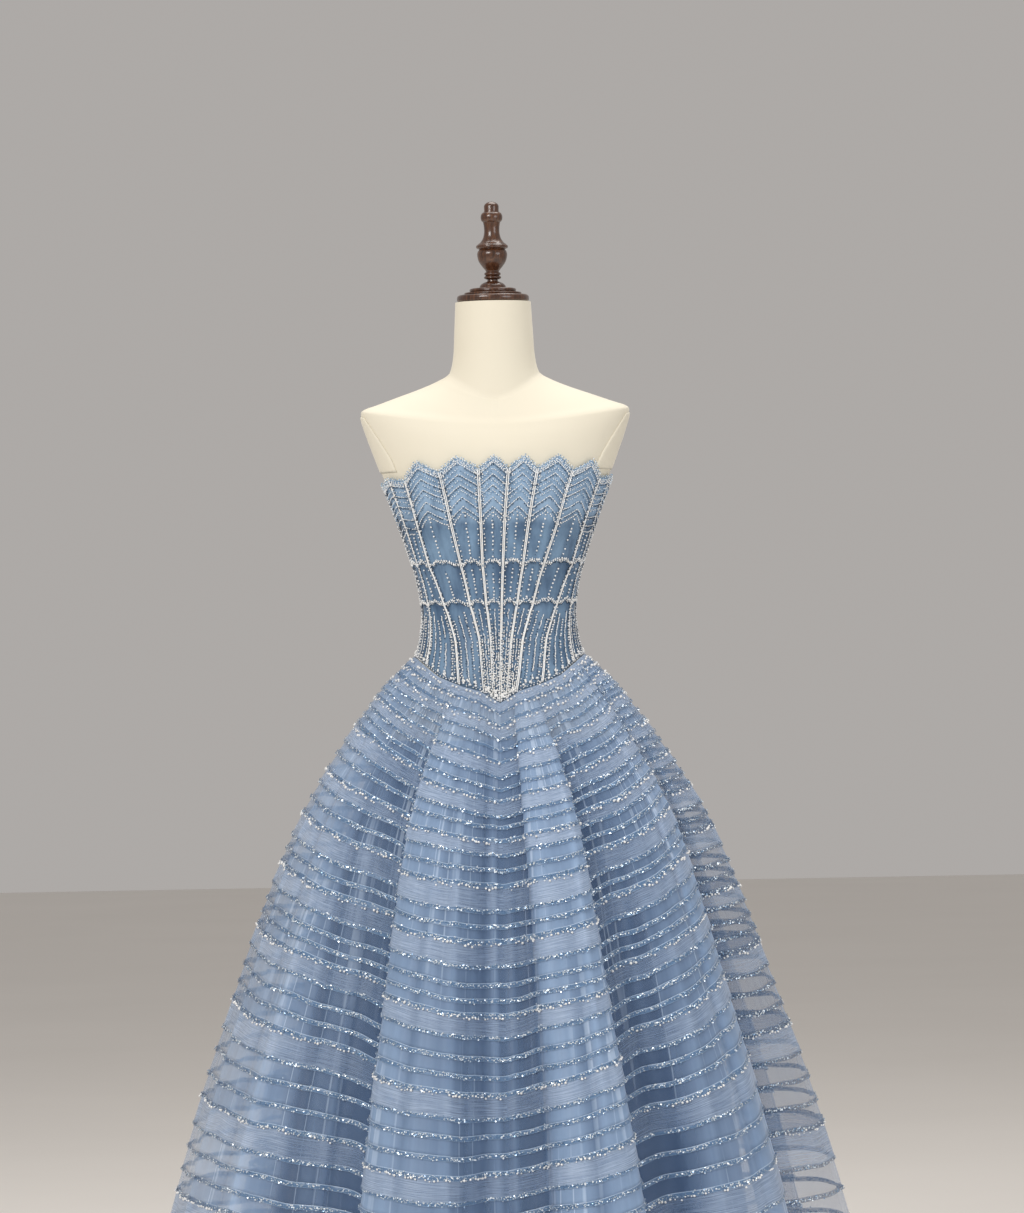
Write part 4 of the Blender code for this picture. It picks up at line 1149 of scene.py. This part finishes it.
def makeUnderskirt():
    rows, columns = underskirt["rows"], underskirt["columns"]
    heights = np.linspace(underskirtTable[0, 0], underskirtTable[-1, 0], rows).repeat(columns)
    turn = np.tile(np.arange(columns) / columns * math.tau, rows)
    width, depth = (np.interp(-heights, -underskirtTable[:, 0],
                              underskirtTable[:, column]) for column in (1, 2))
    low = (heights[0] - heights) / (heights[0] - heights[-1])
    folds = sum(high * np.sin(count * turn + start + shift * low) for count, start, shift,
                high in underskirtWaves)
    deep = underskirt["foldDeep"] * (folds * 0.5 + 0.5) * (0.25 + 0.75 * low)
    points = np.stack([(width - deep) * np.sin(turn), -(depth - deep) * np.cos(turn), heights], 1)
    uv = np.stack([turn / math.tau * underskirt["around"], heights], 1)
    made = meshFrom("underskirtCloth", points, gridFaces(rows, columns, True), finishes["lining"], uv)
    thicken(made, underskirt["wall"])
    finishOff(made, "underskirt_cloth", *[f"underskirt_panel_{number}" for number in range(1, 7)])
    print("underskirt area", round(areaOf(made) / 2, 4))


# Bodice seams round half of the body: the three front bones lean, the others keep one angle
boneTable = np.array([  # height, inner, middle and outer bone
    (0.985, 3.4, 8.0, 22.0), (1.072, 7.4, 15.8, 35.0), (1.124, 11.5, 24.0, 47.0),
    (1.182, 13.8, 29.0, 57.0), (1.320, 14.5, 34.8, 58.0),
])
fixedSeams = (88.0, 119.0, 150.0, 180.0)
gores = [  # from centre front: name, height of its valleys and of its peak
    ("centre_front", 1.318, 1.335), ("inner_front", 1.318, 1.335), ("outer_front", 1.312, 1.330),
    ("side_front", 1.300, 1.309), ("side_back", 1.294, 1.303), ("outer_back", 1.292, 1.301),
    ("centre_back", 1.292, 1.301),
]
bodice = {"rows": 46, "columns": 15, "wall": 0.0008, "pillow": 0.0009, "pucker": 0.0006, "puckerPitch": 0.019,
          "sunk": 0.0004, "seamGap": 0.0003, "beadOut": 0.0011, "zipClear": 176.6}


def seamLine(index, height):  # angle of a seam at a height
    height = np.asarray(height, float)
    if index == 0:
        return np.zeros_like(height)
    if index <= 3:
        return np.interp(height, boneTable[:, 0], boneTable[:, index])
    return np.full_like(height, fixedSeams[index - 4])


def goreLine(side, index, across, height):  # angle of a line across a gore, at a share of its width
    first, last = seamLine(index, height), seamLine(index + 1, height)
    return side * (first + (last - first) * across)


def topEdge(index, across):  # height of the pointed top edge across a gore
    inner, here, outer = (gores[near][1] for near in (max(index - 1, 0), index,
                                                      min(index + 1, len(gores) - 1)))
    inner, outer = (inner + here) / 2, (outer + here) / 2
    valley = inner + (outer - inner) * across
    return valley + (gores[index][2] - valley) * (1.0 - np.abs(2.0 * across - 1.0))


def goreAngle(side, index, across, height):
    first, last = seamLine(index, height), seamLine(index + 1, height)
    trim = math.degrees(bodice["seamGap"] * 0.6 / 0.1)
    return side * (first + trim + (last - first - 2 * trim) * across)


def goreHeight(side, index, across, up):  # up is 0 at the waist seam and 1 at the top edge
    top = topEdge(index, across)
    height = top
    for _ in range(7):
        angle = goreAngle(side, index, across, height)
        foot = seamHeight(turned(angle, height)) + bodice["seamGap"]
        height = foot + (top - foot) * up
    return height


def bodiceAt(angle, height, out=0.0):
    off = fit["bodiceOff"] + fit["wall"] + bodice["beadOut"] + np.asarray(out)
    return offForm(turned(angle, height), placeOf(height), np.broadcast_to(off, np.shape(angle)))


def bodiceNormal(angle, height):
    return formNormal(turned(angle, height), placeOf(height))


def makeGores():
    rows, columns = bodice["rows"], bodice["columns"]
    for side, mark in ((1, "left"), (-1, "right")):
        for index, (name, _, _) in enumerate(gores):
            across = np.tile(np.linspace(0, 1, columns), rows)
            up = np.linspace(0, 1, rows).repeat(columns)
            height = goreHeight(side, index, across, up)
            angle = goreAngle(side, index, across, height)
            edge = np.abs(2 * across - 1)
            ripple = np.sin(math.tau * height / bodice["puckerPitch"] + 2.2 * across + 1.7 * index + side)
            ripple *= 0.6 + 0.4 * np.sin(height * 71 + 2.3 * index + side) * edge**1.2
            out = np.where((up > 0.01) & (up < 0.99),
                           bodice["pillow"] * (1 - edge**3) + bodice["pucker"] * ripple, 0.0)
            off = fit["bodiceOff"] + fit["wall"] + out - bodice["sunk"]
            points = offForm(turned(angle, height), placeOf(height), off)
            faces = gridFaces(rows, columns, False)
            if side > 0:
                faces = [tuple(reversed(face)) for face in faces]
            made = meshFrom(f"satin{name.title().replace('_', '')}{mark.title()}", points, faces,
                            finishes["satin"],
                            np.stack([across * 0.05, height], 1))
            thicken(made, bodice["wall"])
            finishOff(made, "bodice_satin", f"bodice_{name}_{mark}")
            if side > 0:
                print("gore", name, "area", round(areaOf(made) / 2, 5))


def tubeMesh(line, facing, radius, sides):
    along = unit(np.gradient(line, axis=0))
    aside = unit(np.cross(along, facing))
    rise = np.cross(aside, along)
    turn = np.arange(sides) * math.tau / sides
    ring = (np.cos(turn)[None, :, None] * aside[:, None, :] + np.sin(turn)[None, :, None] * rise[:, None, :])
    points = (line[:, None, :] + radius * ring).reshape(-1, 3)
    faces = gridFaces(len(line), sides, True) + [tuple(range(sides)),
                                                 tuple(range(len(points) - sides, len(points)))]
    return points, faces


def strand(kind, angles, heights, pitch, size, out=0.0, jitter=0.0, skip=0.0, spread=0.15):
    fine = np.linspace(0, 1, 160)
    angles = np.interp(fine, np.linspace(0, 1, len(angles)), angles)
    heights = np.interp(fine, np.linspace(0, 1, len(heights)), heights)
    steps = pitch * chance.uniform(1 - spread, 1 + spread, 700)
    across, at, facing, along = surfaceSpots(bodiceAt, bodiceNormal, angles, heights, steps, 0.0)
    at = at + chance.normal(0.0, 1.0, len(at)) * jitter
    across = across + chance.normal(0.0, 1.0, len(at)) * jitter * 500
    keep = (np.abs(across) < bodice["zipClear"]) & (chance.random(len(at)) >= skip)
    if keep.any():
        places = bodiceAt(across, at, out + size * 0.6)
        trays[kind].add(places[keep], facing[keep], along[keep], size * chance.uniform(0.9, 1.08, keep.sum()))


trays = {kind: BeadTray() for kind in ("pearl", "cream", "silver", "ink", "sky")}
beading = {
    "pearl": 0.00175, "bead": 0.00135, "fine": 0.00108, "bugle": 0.00128, "cordHalf": 0.00086,
    "cord": 0.00088, "chevrons": (0.0088, 0.0164, 0.0240, 0.0316, 0.0392, 0.0468, 0.0575, 0.0700),
    "lowestRow": 0.0780, "rowOne": 1.182, "rowOneRise": 0.0088, "rowTwo": 1.124, "rowTwoRise": 0.0075,
}


def footOf(side, index, across):
    return float(goreHeight(side, index, np.array([across]), np.array([0.0]))[0])


def makeCords():
    parts = []
    for side in (1, -1):
        lines = [(index, 0.0) for index in range(7)] + [(index, 0.5) for index in (3, 4, 5, 6)]
        for index, across in lines:
            if side < 0 and index == 0:
                continue
            top = float(topEdge(index, np.array([across]))[0]) - 0.001
            low = footOf(side, index, across) + 0.002
            heights = np.linspace(top, low, 84)
            middle = goreLine(side, index, across, heights)
            wide = np.degrees(beading["cordHalf"] / 0.105)
            for offset in (-wide, wide):
                line = bodiceAt(middle + offset, heights, 0.0002)
                parts.append(tubeMesh(line, bodiceNormal(middle + offset, heights), beading["cord"], 6))
            for offset in (-wide, wide):
                strand("ink", middle + offset * 3.0, heights, 0.0032, beading["bead"], 0.0, 0.00025, 0.08,
                       0.3)
                strand("pearl", middle + offset * 4.0, heights, 0.0064, beading["bead"], 0.0004, 0.00035,
                       0.18, 0.35)
    faces, count = [], 0
    for points, own in parts:
        faces += [tuple(corner + count for corner in face) for face in own]
        count += len(points)
    points = np.concatenate([points for points, _ in parts])
    finishOff(faceOut(meshFrom("boneCords", points, faces, finishes["cream"])), "pearl")


topRows = [  # beads along the pointed edge: how far below it, kind, size, gap, how far out
    (-0.0022, "sky", "bead", 0.0046, 0.0), (-0.0010, "silver", "bead", 0.0040, 0.0006),
    (0.0008, "sky", "bead", 0.0029, 0.0), (0.0026, "silver", "bead", 0.0030, 0.0004),
    (0.0044, "silver", "fine", 0.0026, 0.0), (0.0058, "cream", "fine", 0.0030, 0.0),
    (0.0074, "silver", "bead", 0.0032, 0.0),
]
ruchedRows = [  # beads of each scalloped row: how far below it, kind, size, gap
    (-0.0018, "silver", "bead", 0.0036), (0.0, "pearl", "pearl", 0.0036), (0.0020, "pearl", "fine", 0.0034),
    (0.0040, "ink", "bead", 0.0030),
]
fanShares = {0: (0.22, 0.5, 0.78), 1: (0.25, 0.5, 0.75), 2: (0.3, 0.55, 0.8), 3: np.linspace(0.06, 0.94, 10)}
otherFans = np.linspace(0.06, 0.94, 7)


def beadGore(side, index):
    wide = index >= 3
    across = np.linspace(0.0, 1.0, 41)
    top = topEdge(index, across)

    def beadRow(heights, *beads):
        for drop, kind, size, pitch, out, jitter, skip, spread in beads:
            at = heights - drop
            strand(kind, goreLine(side, index, across, at), at, pitch, beading[size], out, jitter, skip,
                   spread)

    beadRow(top, *((*row, 0.0004, 0.10, 0.35) for row in topRows))
    for number, drop in enumerate(beading["chevrons"]):
        if number % 2 == 0 or number >= 6:
            beadRow(top - drop, (0.0, "cream", "bugle", 0.0040, 0.0002, 0.0001, 0.02, 0.15),
                    (0.0022, "ink", "bead", 0.0032, 0.0, 0.0003, 0.15, 0.15))
        else:
            beadRow(top - drop, (0.0, "silver", "bead", 0.0036, 0.0, 0.0003, 0.12, 0.15),
                    (0.0019, "sky", "bead", 0.0034, 0.0, 0.0003, 0.25, 0.15))
    beadRow(top - beading["lowestRow"], (0.0, "pearl", "bead", 0.0036, 0.0, 0.0003, 0.05, 0.15))
    bow = np.abs(np.sin(math.tau * across)) if wide else np.sin(math.pi * across)
    scallop = 0.0030 * np.abs(np.cos(math.pi * (5 if wide else 3) * across))
    for row in ("rowOne", "rowTwo"):
        heights = beading[row] + beading[row + "Rise"] * bow**1.3 * 0.7 + scallop
        beadRow(heights, *((*bead, 0.0, 0.0003, 0.06, 0.15) for bead in ruchedRows))
    for share in ((0.25, 0.75) if wide else (0.5,)):
        start = float(topEdge(index, np.array([share]))[0]) - beading["lowestRow"]
        for high, low in ((start, beading["rowOne"] + beading["rowOneRise"]),
                          (beading["rowOne"], beading["rowTwo"] + beading["rowTwoRise"])):
            heights = np.linspace(high, low, 30)
            line = goreLine(side, index, share, heights)
            strand("pearl", line, heights, 0.0058, beading["pearl"], 0.0, 0.0003, 0.08, 0.3)
            strand("ink", line, heights, 0.0044, beading["fine"], 0.0, 0.0005, 0.2, 0.3)
    for number, share in enumerate(fanShares.get(index, otherFans)):
        high = beading["rowTwo"] - (0.004 if index < 2 else 0.008 + 0.006 * ((number * 7) % 3))
        if index < 2 and share != 0.5:
            high = 1.085 - 0.010 * index
        heights = np.linspace(high, footOf(side, index, share) + 0.004, 30)
        line = goreLine(side, index, share, heights)
        strand("cream" if number % 2 else "pearl", line, heights, 0.0040, beading["pearl"] * 0.88, 0.0,
               0.0004, 0.06)
        strand("ink", line - 1.1, heights, 0.0036, beading["bead"], 0.0, 0.0003, 0.15)
        strand("pearl", line[-4:], heights[-4:], 0.0030, beading["pearl"] * 1.25, 0.0006, 0.0012, 0.0)


def beadSeam():  # pearls along the waist seam and its point
    angle = np.linspace(-176.0, 176.0, 400)
    height = np.full_like(angle, 1.02)
    for _ in range(8):
        height = seamHeight(turned(angle, height)) + 0.0022
    for lift, kind, size, pitch in ((0.0, "pearl", 0.0014, 0.0052), (0.0026, "silver", 0.0010, 0.0046)):
        strand(kind, angle, height + lift, pitch, size, 0.0, 0.0004, 0.05)


def makeBeadwork():
    makeCords()
    for side in (1, -1):
        for index in range(7):
            beadGore(side, index)
    beadSeam()
    shapeOf = {"pearl": "pearl", "cream": "bugle", "silver": "bead", "ink": "bead", "sky": "bead"}
    for number, (kind, tray) in enumerate(trays.items()):
        name, shape = f"bodiceBeads{kind.title()}", shapes[shapeOf[kind]]
        made = scatter(name, tray, shape, finishes[kind], 40 + number, 0.25, 0.85)
        finishOff(made, "pearl" if kind in ("pearl", "cream") else "glass_bead")


zipper = {"top": 1.286, "foot": 1.046, "half": 0.0045, "thick": 0.0008, "lift": 0.0012, "groove": 0.00015,
          "teethPitch": 0.0019, "teethTop": 1.268, "teethOut": 0.0022, "toothSize": 0.0006, "rows": 60,
          "columns": 7}


def makeZip():
    rows, columns = zipper["rows"], zipper["columns"]
    heights = np.linspace(zipper["foot"], zipper["top"], rows).repeat(columns)
    spread = np.degrees(zipper["half"] / 0.1)
    across = np.tile(np.linspace(-1, 1, columns), rows)
    out = fit["bodiceOff"] + fit["wall"] + zipper["lift"] + zipper["thick"]
    out = out - zipper["groove"] * (np.abs(across) < 0.2)
    points = offForm(turned(180.0 + spread * across, heights), placeOf(heights), out)
    faces = [tuple(reversed(face)) for face in gridFaces(rows, columns, False)]
    uv = np.stack([across * zipper["half"], heights], 1)
    made = meshFrom("zipTapeWoven", points, faces, finishes["satin"], uv)
    thicken(made, zipper["thick"] * 0.8)
    finishOff(made, "bodice_satin", "zip_tape")
    print("zip tape area", round(areaOf(made) / 2, 5))
    tray = BeadTray()
    heights = np.arange(zipper["foot"] + 0.003, zipper["teethTop"], zipper["teethPitch"])
    for sign in (-0.16, 0.16):
        angle = np.full_like(heights, 180.0 + spread * sign)
        at = heights + (zipper["teethPitch"] / 2 if sign > 0 else 0.0)
        places = offForm(turned(angle, at), placeOf(at), fit["bodiceOff"] + fit["wall"] + zipper["teethOut"])
        facing = formNormal(turned(angle, at), placeOf(at))
        along = np.tile([1.0, 0.0, 0.0], (len(at), 1))
        tray.add(places, facing, along, zipper["toothSize"])
    finishOff(scatter("zipTeeth", tray, shapes["bugle"], finishes["silver"], 61, 0.02, 0.98), "zip_metal")


makeUnderskirt()
makeGores()
makeZip()
makeBeadwork()
print("bodice made")
